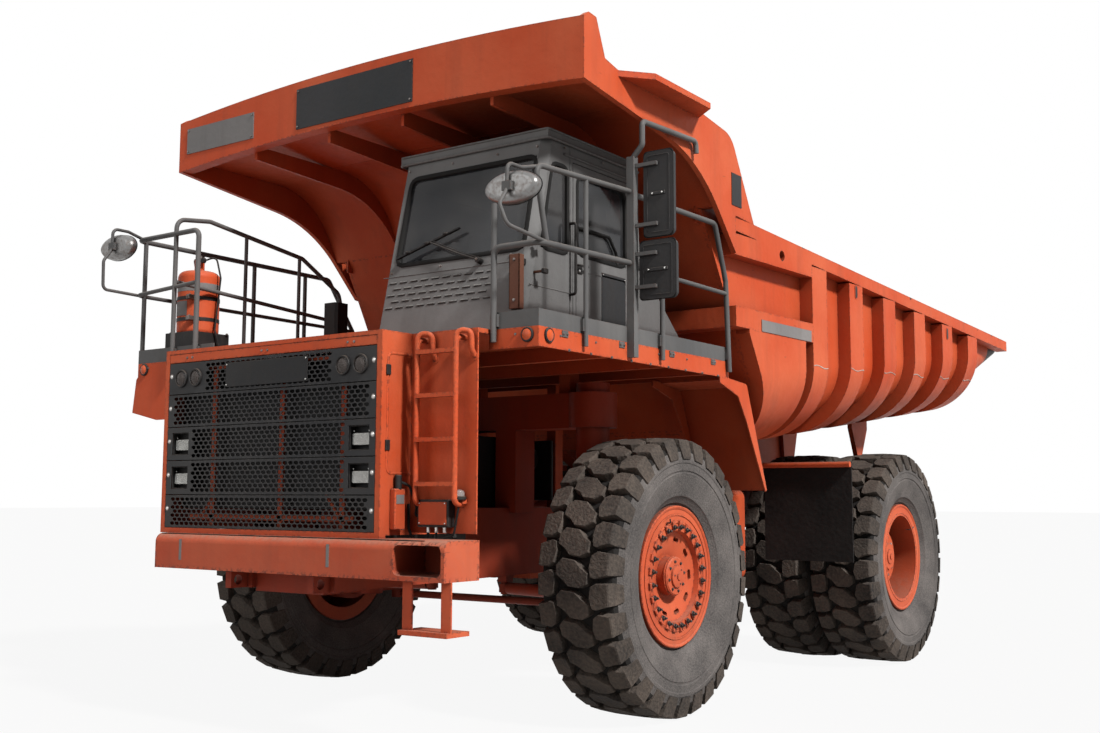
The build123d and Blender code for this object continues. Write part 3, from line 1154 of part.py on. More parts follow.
mirror_t = 45
with BuildPart() as mirrors:
    for x0, x1, z0, z1 in mirror_boxes:
        with BuildSketch(Plane(origin=((x0 + x1) / 2, st(pole_y + arm_half), (z0 + z1) / 2), x_dir=(1, 0, 0), z_dir=(0, -1, 0))):
            RectangleRounded(x1 - x0, z1 - z0, 45)
        extrude(amount=-mirror_t)
    for side, y, z, _, _ in bowl_mirrors:
        with BuildSketch(Plane(origin=(side * bowl_x, st(y), z), x_dir=(1, 0, 0), z_dir=(0, -1, 0))):
            Ellipse(*bowl_size)
        extrude(amount=bowl_depth)
        rims = mirrors.edges().filter_by(GeomType.ELLIPSE).filter_by(lambda edge: edge.center().X * side > 0)
        fillet(rims.sort_by(Axis.Y)[0], bowl_round)
mirrors.part.label = "mirrors"
export_step(mirrors.part, "parts/mirrors.step")
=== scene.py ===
"""Visual model of the rigid-frame mining dump truck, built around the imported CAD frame.

Metres. +X is the truck's left, -Y its front, +Z up. st() turns a station, measured rearwards
from the front axle, into a Y value, as in the part's source, and pt() does so in a point.
"""
import json
import random
from math import cos, pi, radians, sin, sqrt, tau

import bmesh
import bpy
from mathutils import Matrix, Vector
from mathutils.bvhtree import BVHTree


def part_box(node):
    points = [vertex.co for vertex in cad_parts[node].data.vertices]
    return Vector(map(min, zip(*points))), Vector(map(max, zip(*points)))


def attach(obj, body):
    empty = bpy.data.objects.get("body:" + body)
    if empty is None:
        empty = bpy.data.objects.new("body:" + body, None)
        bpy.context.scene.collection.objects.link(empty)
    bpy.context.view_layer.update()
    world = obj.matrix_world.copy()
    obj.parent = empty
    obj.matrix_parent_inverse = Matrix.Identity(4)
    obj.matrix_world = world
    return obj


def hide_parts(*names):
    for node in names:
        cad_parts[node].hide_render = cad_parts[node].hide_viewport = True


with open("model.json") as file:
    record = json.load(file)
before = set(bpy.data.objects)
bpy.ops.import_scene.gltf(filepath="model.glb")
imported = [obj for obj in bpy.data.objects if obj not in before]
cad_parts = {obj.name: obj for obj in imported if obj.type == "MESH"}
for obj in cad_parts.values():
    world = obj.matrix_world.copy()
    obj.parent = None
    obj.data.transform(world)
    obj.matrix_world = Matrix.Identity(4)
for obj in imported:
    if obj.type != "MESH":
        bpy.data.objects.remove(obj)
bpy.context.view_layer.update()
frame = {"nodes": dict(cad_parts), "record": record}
rng = random.Random(7)

front_tyre_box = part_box("front_tyre_left")
rear_tyre_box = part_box("rear_tyres_left")
axle_y = (front_tyre_box[0].y + front_tyre_box[1].y) / 2
axle_z = (front_tyre_box[0].z + front_tyre_box[1].z) / 2
rear_y = (rear_tyre_box[0].y + rear_tyre_box[1].y) / 2
tyre_r = front_tyre_box[1].z - axle_z
front_x = (front_tyre_box[0].x + front_tyre_box[1].x) / 2
tyre_half = (front_tyre_box[1].x - front_tyre_box[0].x) / 2
rear_outer_x = rear_tyre_box[1].x - tyre_half
rear_inner_x = rear_tyre_box[0].x + tyre_half
sides_of_truck = ((1, "left"), (-1, "right"))
ahead, rearwards, leftwards = (0, -1, 0), (0, 1, 0), (1, 0, 0)
up, down = (0, 0, 1), (0, 0, -1)


def st(y):
    """Y of a station in metres behind the front axle."""
    return axle_y + y


def pt(x, station, z):
    """Point at a station."""
    return (x, st(station), z)


# ---------- camera, lamps, floor
scene = bpy.context.scene
camera_at = Vector((6.758, -10.642, 1.646))
yaw, pitch, roll = radians(35.82), radians(6.05), radians(0.19)
sensor_w, focal_share = 36, 1.1226
floor_reach, floor_white = 150, 0.92
# name, direction towards the lamp, energy, angle in degrees
suns = (("key", (0.92, -0.15, 0.86), 4.3, 7), ("fill", (-0.3, -0.9, 0.45), 0.55, 50))

camera = bpy.data.objects.new("camera", bpy.data.cameras.new("camera"))
scene.collection.objects.link(camera)
scene.camera = camera
forward = Vector((-sin(yaw) * cos(pitch), cos(yaw) * cos(pitch), sin(pitch)))
level = Vector((cos(yaw), sin(yaw), 0))
right = cos(roll) * level + sin(roll) * level.cross(forward)
view = Matrix((right, right.cross(forward), -forward)).transposed().to_4x4()
camera.matrix_world = Matrix.Translation(camera_at) @ view
camera.data.sensor_width = sensor_w
camera.data.lens = sensor_w * focal_share
camera.data.clip_end = 400


def nodes_of(tree):
    """Clears a node tree and returns short ways to add nodes and links."""
    tree.nodes.clear()

    def add(kind, **values):
        node = tree.nodes.new("ShaderNode" + kind)
        for key, value in values.items():
            if key in node.inputs:
                node.inputs[key].default_value = value
            else:
                setattr(node, key, value)
        return node

    return add, tree.links.new


def white_where_seen(tree, lit_kind, lit_values, white_kind, output_kind, share=1.0):
    """Lights with one shader, and looks plain white to the camera, through glass and in gloss."""
    add, link = nodes_of(tree)
    path = add("LightPath")
    seen = path.outputs["Is Camera Ray"]
    for ray in ("Is Glossy Ray", "Is Transmission Ray"):
        either = add("Math", operation="MAXIMUM")
        link(seen, either.inputs[0])
        link(path.outputs[ray], either.inputs[1])
        seen = either.outputs[0]
    weight = add("Math", operation="MULTIPLY")
    weight.inputs[1].default_value = share
    link(seen, weight.inputs[0])
    lit = add(lit_kind, **lit_values)
    white = add(white_kind, Color=(1, 1, 1, 1), Strength=1.0)
    mix = add("MixShader")
    for socket, node in zip(mix.inputs, (weight, lit, white)):
        link(node.outputs[0], socket)
    link(mix.outputs[0], add(output_kind).inputs["Surface"])


def make_studio():
    """World, floor, a large soft key from the truck's left and a weak fill from its front right."""
    world = bpy.data.worlds.new("studio")
    world.use_nodes = True
    scene.world = world
    ambient = {"Color": (0.93, 0.96, 1.0, 1), "Strength": 0.13}
    white_where_seen(world.node_tree, "Background", ambient, "Background", "OutputWorld")
    mesh = bpy.data.meshes.new("floor")
    corners = [(x * floor_reach, y * floor_reach, 0) for x, y in ((-1, -1), (1, -1), (1, 1), (-1, 1))]
    mesh.from_pydata(corners, [], [(0, 1, 2, 3)])
    floor = bpy.data.objects.new("floor", mesh)
    scene.collection.objects.link(floor)
    material = bpy.data.materials.new("floor")
    material.use_nodes = True
    matt = {"Color": (0.34, 0.33, 0.32, 1)}
    white_where_seen(material.node_tree, "BsdfDiffuse", matt, "Emission", "OutputMaterial", floor_white)
    mesh.materials.append(material)
    for name, direction, energy, spread in suns:
        lamp = bpy.data.objects.new(name, bpy.data.lights.new(name, "SUN"))
        lamp.data.energy = energy
        lamp.data.angle = radians(spread)
        lamp.rotation_euler = Vector(direction).to_track_quat("Z", "Y").to_euler()
        scene.collection.objects.link(lamp)
    scene.view_settings.view_transform = "Standard"


make_studio()


# ---------- materials
class Look:
    """One material with a Principled shader, and short ways to build what feeds it."""

    def __init__(self, name, **sockets):
        self.material = bpy.data.materials.new(name)
        self.material.use_nodes = True
        self.add, self.link = nodes_of(self.material.node_tree)
        self.shader = self.add("BsdfPrincipled", **sockets)
        self.link(self.shader.outputs[0], self.add("OutputMaterial").inputs["Surface"])

    def spread(self, value, low, high, top=1.0):
        """Stretches low..high to 0..top."""
        node = self.add("MapRange", **{"From Min": low, "From Max": high, "To Max": top})
        self.link(value, node.inputs["Value"])
        return node.outputs[0]

    def noise(self, scale, detail=3.0, stretch=(1, 1, 1), seed=0.0, low=0.0, high=1.0):
        """Noise on the object's own coordinates, stretched from low..high to 0..1."""
        mapping = self.add("Mapping", Scale=stretch, Location=(seed, seed * 1.7, -seed))
        texture = self.add("TexNoise", Scale=scale, Detail=detail)
        self.link(self.add("TexCoord").outputs["Object"], mapping.inputs["Vector"])
        self.link(mapping.outputs[0], texture.inputs["Vector"])
        return self.spread(texture.outputs[0], low, high)

    def combine(self, operation, a, b):
        """One Math node on two sockets or numbers."""
        node = self.add("Math", operation=operation, use_clamp=True)
        for socket, value in zip(node.inputs, (a, b)):
            if isinstance(value, (int, float)):
                socket.default_value = value
            else:
                self.link(value, socket)
        return node.outputs[0]

    def times(self, a, b):
        return self.combine("MULTIPLY", a, b)

    def plus(self, a, b):
        return self.combine("ADD", a, b)

    def blend(self, share, a, b):
        """Mixes two colours, each a socket or a tuple."""
        mix = self.add("Mix", data_type="RGBA")
        self.link(share, mix.inputs[0])
        for socket, value in ((mix.inputs[6], a), (mix.inputs[7], b)):
            if isinstance(value, tuple):
                socket.default_value = (*value, 1)
            else:
                self.link(value, socket)
        return mix.outputs[2]

    def height_of(self, kind, output):
        """Z of the surface's place or normal."""
        split = self.add("SeparateXYZ")
        self.link(self.add(kind).outputs[output], split.inputs[0])
        return split.outputs["Z"]

    def edges(self, radius):
        """1 along convex and concave edges, 0 on open faces."""
        rounded = self.add("Bevel", samples=3, Radius=radius)
        dot = self.add("VectorMath", operation="DOT_PRODUCT")
        self.link(rounded.outputs[0], dot.inputs[0])
        self.link(self.add("NewGeometry").outputs["Normal"], dot.inputs[1])
        return self.spread(dot.outputs["Value"], 0.995, 0.9)

    def finished(self, colour, rough, height, bump, depth):
        """Feeds the shader and returns the material."""
        self.link(colour, self.shader.inputs["Base Color"])
        self.link(rough, self.shader.inputs["Roughness"])
        if height:
            node = self.add("Bump", Strength=bump, Distance=depth)
            self.link(height, node.inputs["Height"])
            self.link(node.outputs[0], self.shader.inputs["Normal"])
        return self.material


def painted(name, colour, faded, dust=(0.33, 0.25, 0.19), bare=(0.035, 0.03, 0.028), dusty=0.42,
            wear=0.65, streaks=0.32, roughness=0.46, edge=0.024):
    """Weathered paint: faded patches, rain streaks, dust with a painted sheen on upward faces, painted
    shade in hollows, scratches and chipped edges.
    """
    look = Look(name, **{"Specular IOR Level": 0.16})
    patches = look.noise(1.3, 4, seed=3.1, low=0.35, high=0.7)
    shade = look.blend(patches, colour, faded)
    runs = look.noise(7, 5, stretch=(1, 1, 0.1), seed=9.2, low=0.5, high=0.78)
    dark = tuple(c * 0.42 + d * 0.1 for c, d in zip(colour, dust))
    shade = look.blend(look.times(runs, streaks), shade, dark)
    mottle = look.noise(22, 6, seed=1.5, low=0.35, high=0.75)
    # paler dust on upward faces: settled dust, with a painted sheen on the tops where the key light falls
    facing_up = look.spread(look.height_of("NewGeometry", "Normal"), 0.35, 0.95)
    settled_dust_and_sheen = look.times(facing_up, look.plus(0.45, mottle))
    film = look.times(mottle, 0.1)
    near_ground = look.spread(look.height_of("TexCoord", "Object"), 1.9, 0.3)
    dust_and_sheen = look.plus(settled_dust_and_sheen, look.plus(film, look.times(near_ground, 0.3)))
    dust_and_sheen = look.times(dust_and_sheen, dusty)
    shade = look.blend(dust_and_sheen, shade, dust)
    # painted shade: in hollows and corners the colour darkens towards a dark copy of itself, where shade
    # falls
    hollow = look.add("AmbientOcclusion", samples=6, Distance=1.1)
    painted_hollow_shade = look.spread(hollow.outputs["AO"], 0.75, 0.15, 0.72)
    shade = look.blend(painted_hollow_shade, shade, tuple(c * 0.16 for c in colour))
    rubbed = look.times(look.edges(edge), look.noise(38, 7, seed=5.3, low=0.5, high=0.56))
    scratches = look.noise(55, 8, stretch=(1, 0.12, 0.9), seed=7.7, low=0.7, high=0.74)
    worn = look.times(look.plus(rubbed, look.times(scratches, 0.4)), wear)
    shade = look.blend(worn, shade, bare)
    rough = look.plus(look.plus(roughness, look.times(dust_and_sheen, 0.6)), look.times(mottle, 0.12))
    return look.finished(shade, rough, look.combine("SUBTRACT", mottle, worn), 0.35, 0.002)


def rubbery(name, dark, pale, dusty, grain=60, bump_depth=0.003):
    """Black rubber with fine grain and pale dust in patches."""
    look = Look(name, **{"Specular IOR Level": 0.12})
    patches = look.noise(3.2, 6, seed=2.2, low=0.3, high=0.75)
    fine = look.noise(grain, 7, seed=4.4, low=0.3, high=0.72)
    share = look.times(look.plus(look.times(patches, 0.6), look.times(fine, 0.5)), dusty)
    rough = look.plus(0.75, look.times(fine, 0.2))
    return look.finished(look.blend(share, dark, pale), rough, fine, 0.7, bump_depth)


def steel(name, colour, roughness=0.35, metallic=1.0, stained=0.5):
    """Bare or plated metal with stains and a fine brushed grain."""
    look = Look(name, Metallic=metallic)
    share = look.times(look.noise(40, 6, seed=6.1, low=0.45, high=0.72), stained)
    rough = look.plus(roughness, look.times(share, 0.5))
    grain = look.noise(180, 4, seed=8.0)
    return look.finished(look.blend(share, colour, (0.1, 0.06, 0.04)), rough, grain, 0.3, 0.001)


def glassy(name, colour, alpha, roughness=0.04):
    """Tinted glass with a thin film of dust."""
    look = Look(name, IOR=1.5, Alpha=alpha, **{"Specular IOR Level": 0.28})
    film = look.noise(2.4, 6, seed=1.9, low=0.35, high=0.8)
    shade = look.blend(look.times(film, 0.3), colour, (0.2, 0.18, 0.16))
    return look.finished(shade, look.plus(roughness, look.times(film, 0.12)), None, 0, 0)


orange = painted("orange_paint", (0.6, 0.078, 0.022), (0.68, 0.13, 0.05))
orange_worn = painted("orange_paint_worn", (0.52, 0.065, 0.022), (0.62, 0.12, 0.05), wear=0.95,
                      edge=0.045, dusty=0.6)
weld_orange = painted("weld_paint", (0.46, 0.06, 0.022), (0.52, 0.09, 0.035), dusty=0.5, wear=0.6,
                      edge=0.006)
# painted shade: a darker copy of the orange paint for the frame and struts, which sit in shade under the
# deck
shaded_frame_paint = painted("shaded_frame_paint", (0.42, 0.045, 0.015), (0.34, 0.045, 0.018), dusty=0.35, wear=0.5,
                      streaks=0.4)
gray = painted("gray_paint", (0.15, 0.146, 0.142), (0.2, 0.195, 0.19), dust=(0.3, 0.27, 0.24),
               dusty=0.4, wear=0.35)
rail_gray = painted("rail_paint", (0.095, 0.094, 0.094), (0.16, 0.155, 0.15), bare=(0.16, 0.06, 0.03),
                    dusty=0.3, wear=0.5, edge=0.008)
grille_gray = painted("grille_paint", (0.026, 0.026, 0.028), (0.045, 0.044, 0.044),
                      bare=(0.14, 0.13, 0.12), dusty=0.22, wear=0.3, edge=0.006)
black_paint = painted("black_paint", (0.016, 0.016, 0.017), (0.03, 0.028, 0.027),
                      bare=(0.1, 0.08, 0.07), dusty=0.25, wear=0.35, edge=0.01)
plate_dark = painted("plate_dark", (0.022, 0.024, 0.026), (0.034, 0.034, 0.036),
                     bare=(0.2, 0.08, 0.05), dusty=0.25, wear=0.4, edge=0.01)
plate_gray = painted("plate_gray", (0.2, 0.19, 0.185), (0.27, 0.25, 0.24), bare=(0.3, 0.1, 0.06),
                     dusty=0.3, wear=0.4, edge=0.01)
# black of rubbed scuffs, also used as painted shade inside the lifting holes
black_scuffs_and_shade = painted("scuffed_edge", (0.02, 0.018, 0.017), (0.055, 0.045, 0.04), dusty=0.35, wear=0.3)
load_steel = painted("load_floor", (0.115, 0.08, 0.062), (0.21, 0.16, 0.125),
                     bare=(0.05, 0.045, 0.042), dusty=0.7, wear=0.9, streaks=0.5, roughness=0.55)
chalk = painted("chalk_marks", (0.5, 0.36, 0.3), (0.62, 0.52, 0.46), dusty=0.2, wear=0.5, edge=0.004)
mirror_housing = painted("mirror_housing", (0.028, 0.028, 0.03), (0.045, 0.044, 0.044),
                         bare=(0.14, 0.12, 0.11), dusty=0.3, wear=0.3, edge=0.008)
rusty = painted("rusty_primer", (0.135, 0.05, 0.03), (0.17, 0.075, 0.045), bare=(0.05, 0.03, 0.02),
                dusty=0.35, wear=0.5, edge=0.01)
tread_rubber = rubbery("tread_rubber", (0.026, 0.024, 0.023), (0.165, 0.13, 0.105), 0.8, 45, 0.006)
wall_rubber = rubbery("sidewall_rubber", (0.046, 0.043, 0.042), (0.235, 0.208, 0.192), 0.85, 80)
# painted shade: rubber much darker than the tread's, for the carcass floor between the lugs
shaded_groove_rubber = rubbery("shaded_groove_rubber", (0.012, 0.011, 0.011), (0.05, 0.045, 0.04), 0.6)
seal_rubber = rubbery("seal_rubber", (0.012, 0.012, 0.012), (0.06, 0.055, 0.05), 0.3, 120, 0.001)
flap_rubber = rubbery("flap_rubber", (0.01, 0.01, 0.01), (0.045, 0.04, 0.037), 0.5, 25)
interior_plastic = rubbery("interior_plastic", (0.03, 0.03, 0.032), (0.09, 0.088, 0.085), 0.4, 90, 0.001)
seat_cloth = rubbery("seat_cloth", (0.06, 0.058, 0.06), (0.14, 0.13, 0.125), 0.5, 160, 0.002)
zinc = steel("zinc", (0.55, 0.54, 0.52))
old_steel = steel("old_steel", (0.2, 0.18, 0.17), 0.5, stained=0.8)
nut_black = steel("nut_steel", (0.055, 0.05, 0.048), 0.45, metallic=0.8, stained=0.7)
chrome = steel("chrome_rod", (0.8, 0.8, 0.81), 0.12, stained=0.15)
mirror_back = steel("mirror_back", (0.24, 0.235, 0.23), 0.3, metallic=0.85)
reflector = steel("reflector", (0.72, 0.7, 0.66), 0.16, stained=0.3)
cab_window = glassy("cab_window", (0.02, 0.022, 0.026), 0.8)
smoked_lens = glassy("smoked_lens", (0.105, 0.08, 0.07), 0.55, roughness=0.08)
clear_lens = glassy("clear_lens", (0.7, 0.7, 0.68), 0.3, roughness=0.06)
amber = glassy("amber_lens", (0.72, 0.105, 0.02), 0.95, roughness=0.18)

finish_of_slot = {"orange_paint": orange, "gray_paint": gray, "dark_paint": shaded_frame_paint,
                  "tyre": wall_rubber, "rubber": flap_rubber, "glass": cab_window,
                  "lamp_glass": reflector, "chrome_rod": chrome, "interior": interior_plastic}
finish_of_node = {"guard_rails": rail_gray, "radiator_grille": grille_gray, "front_bumper": orange_worn,
                  "relay_box": black_paint, "mirrors": mirror_housing, "boarding_ladder": orange,
                  "suspension_struts": shaded_frame_paint, "radiator": black_paint, "engine_block": black_paint}
slot_of_node = {part["node"]: part["material_slot"] for part in frame["record"]["subparts"]}
for node, obj in frame["nodes"].items():
    obj.data.materials.clear()
    obj.data.materials.append(finish_of_node.get(node) or finish_of_slot[slot_of_node[node]])


# ---------- making meshes
def axes_of(direction):
    """Three unit vectors, the third along direction."""
    along = Vector(direction).normalized()
    helper = Vector((0, 0, 1)) if abs(along.z) < 0.9 else Vector((0, 1, 0))
    across = helper.cross(along).normalized()
    return across, along.cross(across), along


def circle(centre, across, over, radius, sides):
    """Points evenly round a centre, in the plane of two unit vectors."""
    angles = [tau * i / sides for i in range(sides)]
    return [centre + (across * cos(a) + over * sin(a)) * radius for a in angles]


def oval(half_u, half_v, sides):
    """Outline points of an ellipse."""
    return [(half_u * cos(tau * k / sides), half_v * sin(tau * k / sides)) for k in range(sides)]


def corner_arc(before, corner, after, radius, steps=6, ease=0.0):
    """Points that round one corner, or the corner alone where the line runs nearly straight."""
    back, ahead_of = before - corner, after - corner
    angle = back.angle(ahead_of)
    if angle > pi - 0.02:
        return [corner]
    slope = ease + abs(sin(angle / 2) / cos(angle / 2))
    reach = min(radius / slope, back.length * 0.49, ahead_of.length * 0.49)
    start, end = corner + back.normalized() * reach, corner + ahead_of.normalized() * reach
    shares = [i / steps for i in range(steps + 1)]
    return [start * (1 - t) ** 2 + corner * 2 * t * (1 - t) + end * t ** 2 for t in shares]


def rounded_path(points, bend):
    """Corner points joined by straight runs and arcs of the bend radius."""
    path = [points[0]]
    for before, corner, after in zip(points, points[1:], points[2:]):
        path += corner_arc(before, corner, after, bend, ease=0.0001)
    return path + [points[-1]]


def rounded_box(u0, u1, v0, v1, radius, lean=0.0):
    """Outline of a rectangle with rounded corners; lean moves the first upper corner along u."""
    corners = [Vector(c) for c in ((u0, v0), (u0 + lean, v1), (u1, v1), (u1, v0))]
    points = []
    for i, corner in enumerate(corners):
        points += corner_arc(corners[i - 1], corner, corners[(i + 1) % 4], radius)
    return [(p.x, p.y) for p in points]


def box_of(u0, u1, v0, v1):
    """Outline of a plain rectangle."""
    return [(u0, v0), (u1, v0), (u1, v1), (u0, v1)]


def tangents(path):
    """Each point of a path with the direction of the path there."""
    last = len(path) - 1
    for i, p in enumerate(path):
        yield p, (path[min(i + 1, last)] - path[max(i - 1, 0)]).normalized()


class Build:
    """Gathers faces for one piece, each with its own material, and makes the object."""

    def __init__(self, name, *materials):
        self.name, self.materials = name, materials
        self.points, self.faces, self.slots = [], [], []

    def add(self, points, faces, slot=0):
        """Adds faces, all with one slot or each with its own."""
        base = len(self.points)
        self.points += [tuple(p) for p in points]
        self.faces += [tuple(base + i for i in face) for face in faces]
        self.slots += slot if isinstance(slot, list) else [slot] * len(faces)

    def rings(self, rings, slot=0, caps=True, start_cap=True):
        """Joins rings of points, each of the same count, into a skin."""
        count = len(rings[0])
        faces = []
        for k in range(len(rings) - 1):
            for i in range(count):
                j = (i + 1) % count
                faces.append((k * count + i, k * count + j, (k + 1) * count + j, (k + 1) * count + i))
        if caps and start_cap:
            faces.append(tuple(reversed(range(count))))
        if caps:
            faces.append(tuple(range((len(rings) - 1) * count, len(rings) * count)))
        self.add([p for ring in rings for p in ring], faces, slot)

    def block(self, low, high, edge=0.003, slot=0):
        """Box with chamfered edges between two corners."""
        low, high = Vector(low), Vector(high)
        low, high = Vector(map(min, low, high)), Vector(map(max, low, high))
        edge = min(edge, min(high - low) * 0.45)
        (x0, y0, z0), (x1, y1, z1) = low, high

        def ring(inset, z):
            a, b, c, d = x0 + inset, x1 - inset, y0 + inset, y1 - inset
            e = edge if inset == 0 else edge * 0.6
            return [(a + e, c, z), (b - e, c, z), (b, c + e, z), (b, d - e, z), (b - e, d, z),
                    (a + e, d, z), (a, d - e, z), (a, c + e, z)]

        self.rings([ring(edge, z0), ring(0, z0 + edge), ring(0, z1 - edge), ring(edge, z1)], slot)

    def turned(self, centre, direction, section, sides=48, slot=0, caps=True):
        """Lathe: section is a list of (radius, distance along direction) from start to end."""
        across, over, along = axes_of(direction)
        centre = Vector(centre)
        self.rings([circle(centre + along * t, across, over, max(r, 1e-4), sides) for r, t in section],
                   slot, caps)

    def cylinder(self, start, end, radius, sides=20, edge=0.002, slot=0, hole=0):
        """Round bar with chamfered rims, or a tube when it has a hole."""
        run = Vector(end) - Vector(start)
        length = run.length
        section = [(radius - edge, 0), (radius, edge), (radius, length - edge), (radius - edge, length)]
        if hole:
            section += [(hole, length), (hole, 0), section[0]]
        self.turned(start, run, section, sides, slot, not hole)

    def tube(self, points, radius, bend=0.05, sides=12, slot=0):
        """Bent tube through corner points, each corner rounded with the bend radius."""
        rings = []
        across = None
        for p, tangent in tangents(rounded_path([Vector(p) for p in points], bend)):
            if across is None:
                across = axes_of(tangent)[0]
            across = (across - tangent * across.dot(tangent)).normalized()
            rings.append(circle(p, across, tangent.cross(across), radius, sides))
        self.rings(rings, slot)

    def weld(self, points, radius, slot):
        """Weld bead: a slightly wavy low tube along points that lie on a surface."""
        fine = []
        for a, b in zip(points, points[1:]):
            steps = max(1, int((b - a).length / 0.03))
            fine += [a.lerp(b, k / steps) for k in range(steps)]
        rings = []
        for i, (p, tangent) in enumerate(tangents(fine + [points[-1]])):
            across, over, _ = axes_of(tangent)
            rings.append(circle(p, across, over, radius * (1 + 0.25 * sin(i * 2.4)), 6))
        self.rings(rings, slot)

    def bolt(self, at, direction, size=0.012, slot=0, washer=True):
        """Hexagon head with a washer, standing on a face at a point."""
        along = Vector(direction).normalized()
        at = Vector(at)
        if washer:
            self.cylinder(at - along * 0.001, at + along * size * 0.25, size * 1.35, 14, size * 0.08, slot)
        head = ((1.0, 0.2), (1.0, 0.95), (0.86, 1.1))
        self.turned(at, direction, [(size * r, size * t) for r, t in head], 6, slot)

    def bolts(self, places, direction, size, slot, washer=True):
        for place in places:
            self.bolt(place, direction, size, slot, washer)

    def plate(self, outline, place, thickness, edge=0.002, slot=0):
        """Flat plate: outline points (u, v) put in space by place(u, v, depth)."""
        middle = Vector((sum(u for u, _ in outline), sum(v for _, v in outline))) / len(outline)

        def ring(inset, depth):
            points = []
            for u, v in outline:
                toward = middle - Vector((u, v))
                shift = toward.normalized() * inset if toward.length > inset else Vector((0, 0))
                points.append(place(u + shift.x, v + shift.y, depth))
            return points

        self.rings([ring(0, 0), ring(0, thickness - edge), ring(edge, thickness)], slot)

    def strip_round(self, outline, place, half, low, high, slot=0):
        """Band of a rounded section along a closed outline on the surface of place(u, v, depth)."""
        section = ((-half, low), (-half, high * 0.6), (-half * 0.6, high), (half * 0.6, high),
                   (half, high * 0.6), (half, low))
        rings = []
        for i, (u, v) in enumerate(outline):
            before, after = Vector(outline[i - 1]), Vector(outline[(i + 1) % len(outline)])
            tangent = (after - before).normalized()
            rings.append([place(u + tangent.y * s, v - tangent.x * s, d) for s, d in section])
        self.rings(rings + [rings[0]], slot, caps=False)

    def object(self, body, smooth=35, replaces=()):
        mesh = bpy.data.meshes.new(self.name)
        mesh.from_pydata(self.points, [], self.faces)
        for material in self.materials:
            mesh.materials.append(material)
        mesh.polygons.foreach_set("material_index", self.slots)
        mesh.validate()
        work = bmesh.new()
        work.from_mesh(mesh)
        bmesh.ops.recalc_face_normals(work, faces=work.faces)
        work.to_mesh(mesh)
        work.free()
        mesh.polygons.foreach_set("use_smooth", [True] * len(mesh.polygons))
        mesh.set_sharp_from_angle(angle=radians(smooth))
        mesh.update()
        obj = bpy.data.objects.new(self.name, mesh)
        scene.collection.objects.link(obj)
        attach(obj, body)
        if replaces:
            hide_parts(*replaces)


# ---------- finding and recutting CAD surfaces
surfaces = {}


def onto(origin, direction, *nodes):
    """First point of the named CAD nodes along a ray, or None where it meets none of them."""
    origin, direction = Vector(origin), Vector(direction).normalized()
    hits = []
    for node in nodes:
        if node not in surfaces:
            obj = frame["nodes"][node]
            points = [obj.matrix_world @ v.co for v in obj.data.vertices]
            surfaces[node] = BVHTree.FromPolygons(points, [tuple(f.vertices) for f in obj.data.polygons])
        hit, _, _, distance = surfaces[node].ray_cast(origin, direction)
        if hit is not None:
            hits.append((distance, hit))
    return min(hits, key=lambda found: found[0])[1] if hits else None


def recut(node, name, body, materials, choose):
    """The node's own surface again as a piece, with a material for each region."""
    source = frame["nodes"][node]
    mesh = source.data.copy()
    mesh.materials.clear()
    for material in materials:
        mesh.materials.append(material)
    for face in mesh.polygons:
        face.material_index = choose(source.matrix_world @ face.center, face.normal)
    obj = bpy.data.objects.new(name, mesh)
    scene.collection.objects.link(obj)
    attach(obj, body)
    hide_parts(node)


# ---------- tyres
pitches = 30
carcass_steps = 90
bead_r, bead_half = 0.446, 0.16
groove_r = 0.955
shoulder_edge = 0.299
crown_drop, crown_half = 0.014, 0.295
shoulder_outline = ((0.006, 0.3), (0.164, 0.3), (0.178, 0.235), (0.192, 0.196), (0.182, 0.158),
                    (0.112, 0.142), (0.026, 0.158), (-0.002, 0.205))
centre_outline = ((-0.006, -0.092), (0.04, -0.14), (0.116, -0.136), (0.15, -0.076), (0.2, -0.026),
                  (0.21, 0.07), (0.176, 0.136), (0.098, 0.14), (0.062, 0.082), (0.008, 0.026))
# radius and offset from the centre plane
carcass_section = ((0.446, 0.216), (0.548, 0.218), (0.556, 0.24), (0.598, 0.268), (0.606, 0.279),
                   (0.62, 0.284), (0.632, 0.286), (0.7, 0.312), (0.776, 0.325), (0.782, 0.32),
                   (0.792, 0.32), (0.798, 0.327), (0.85, 0.325), (0.858, 0.33), (0.88, 0.328),
                   (0.888, 0.322), (0.94, 0.312), (0.975, 0.296), (0.984, 0.27), (0.99, 0.15),
                   (0.993, 0.0))
# depth below the tread's face, growth of the outline, and how far the outer side stands out
shoulder_levels = ((0.15, 1.0, 0.036), (0.07, 1.04, 0.017), (0.028, 1.0, 0.004), (0.006, 0.985, 0.0),
                   (0.0, 0.94, -0.01))
centre_levels = ((0.075, 1.04, 0), (0.045, 1.01, 0), (0.006, 0.97, 0), (0.0, 0.93, 0))


def crown(v):
    """Radius of the tread's face at an offset from the centre plane."""
    return tyre_r - crown_drop * (abs(v) / crown_half) ** 2


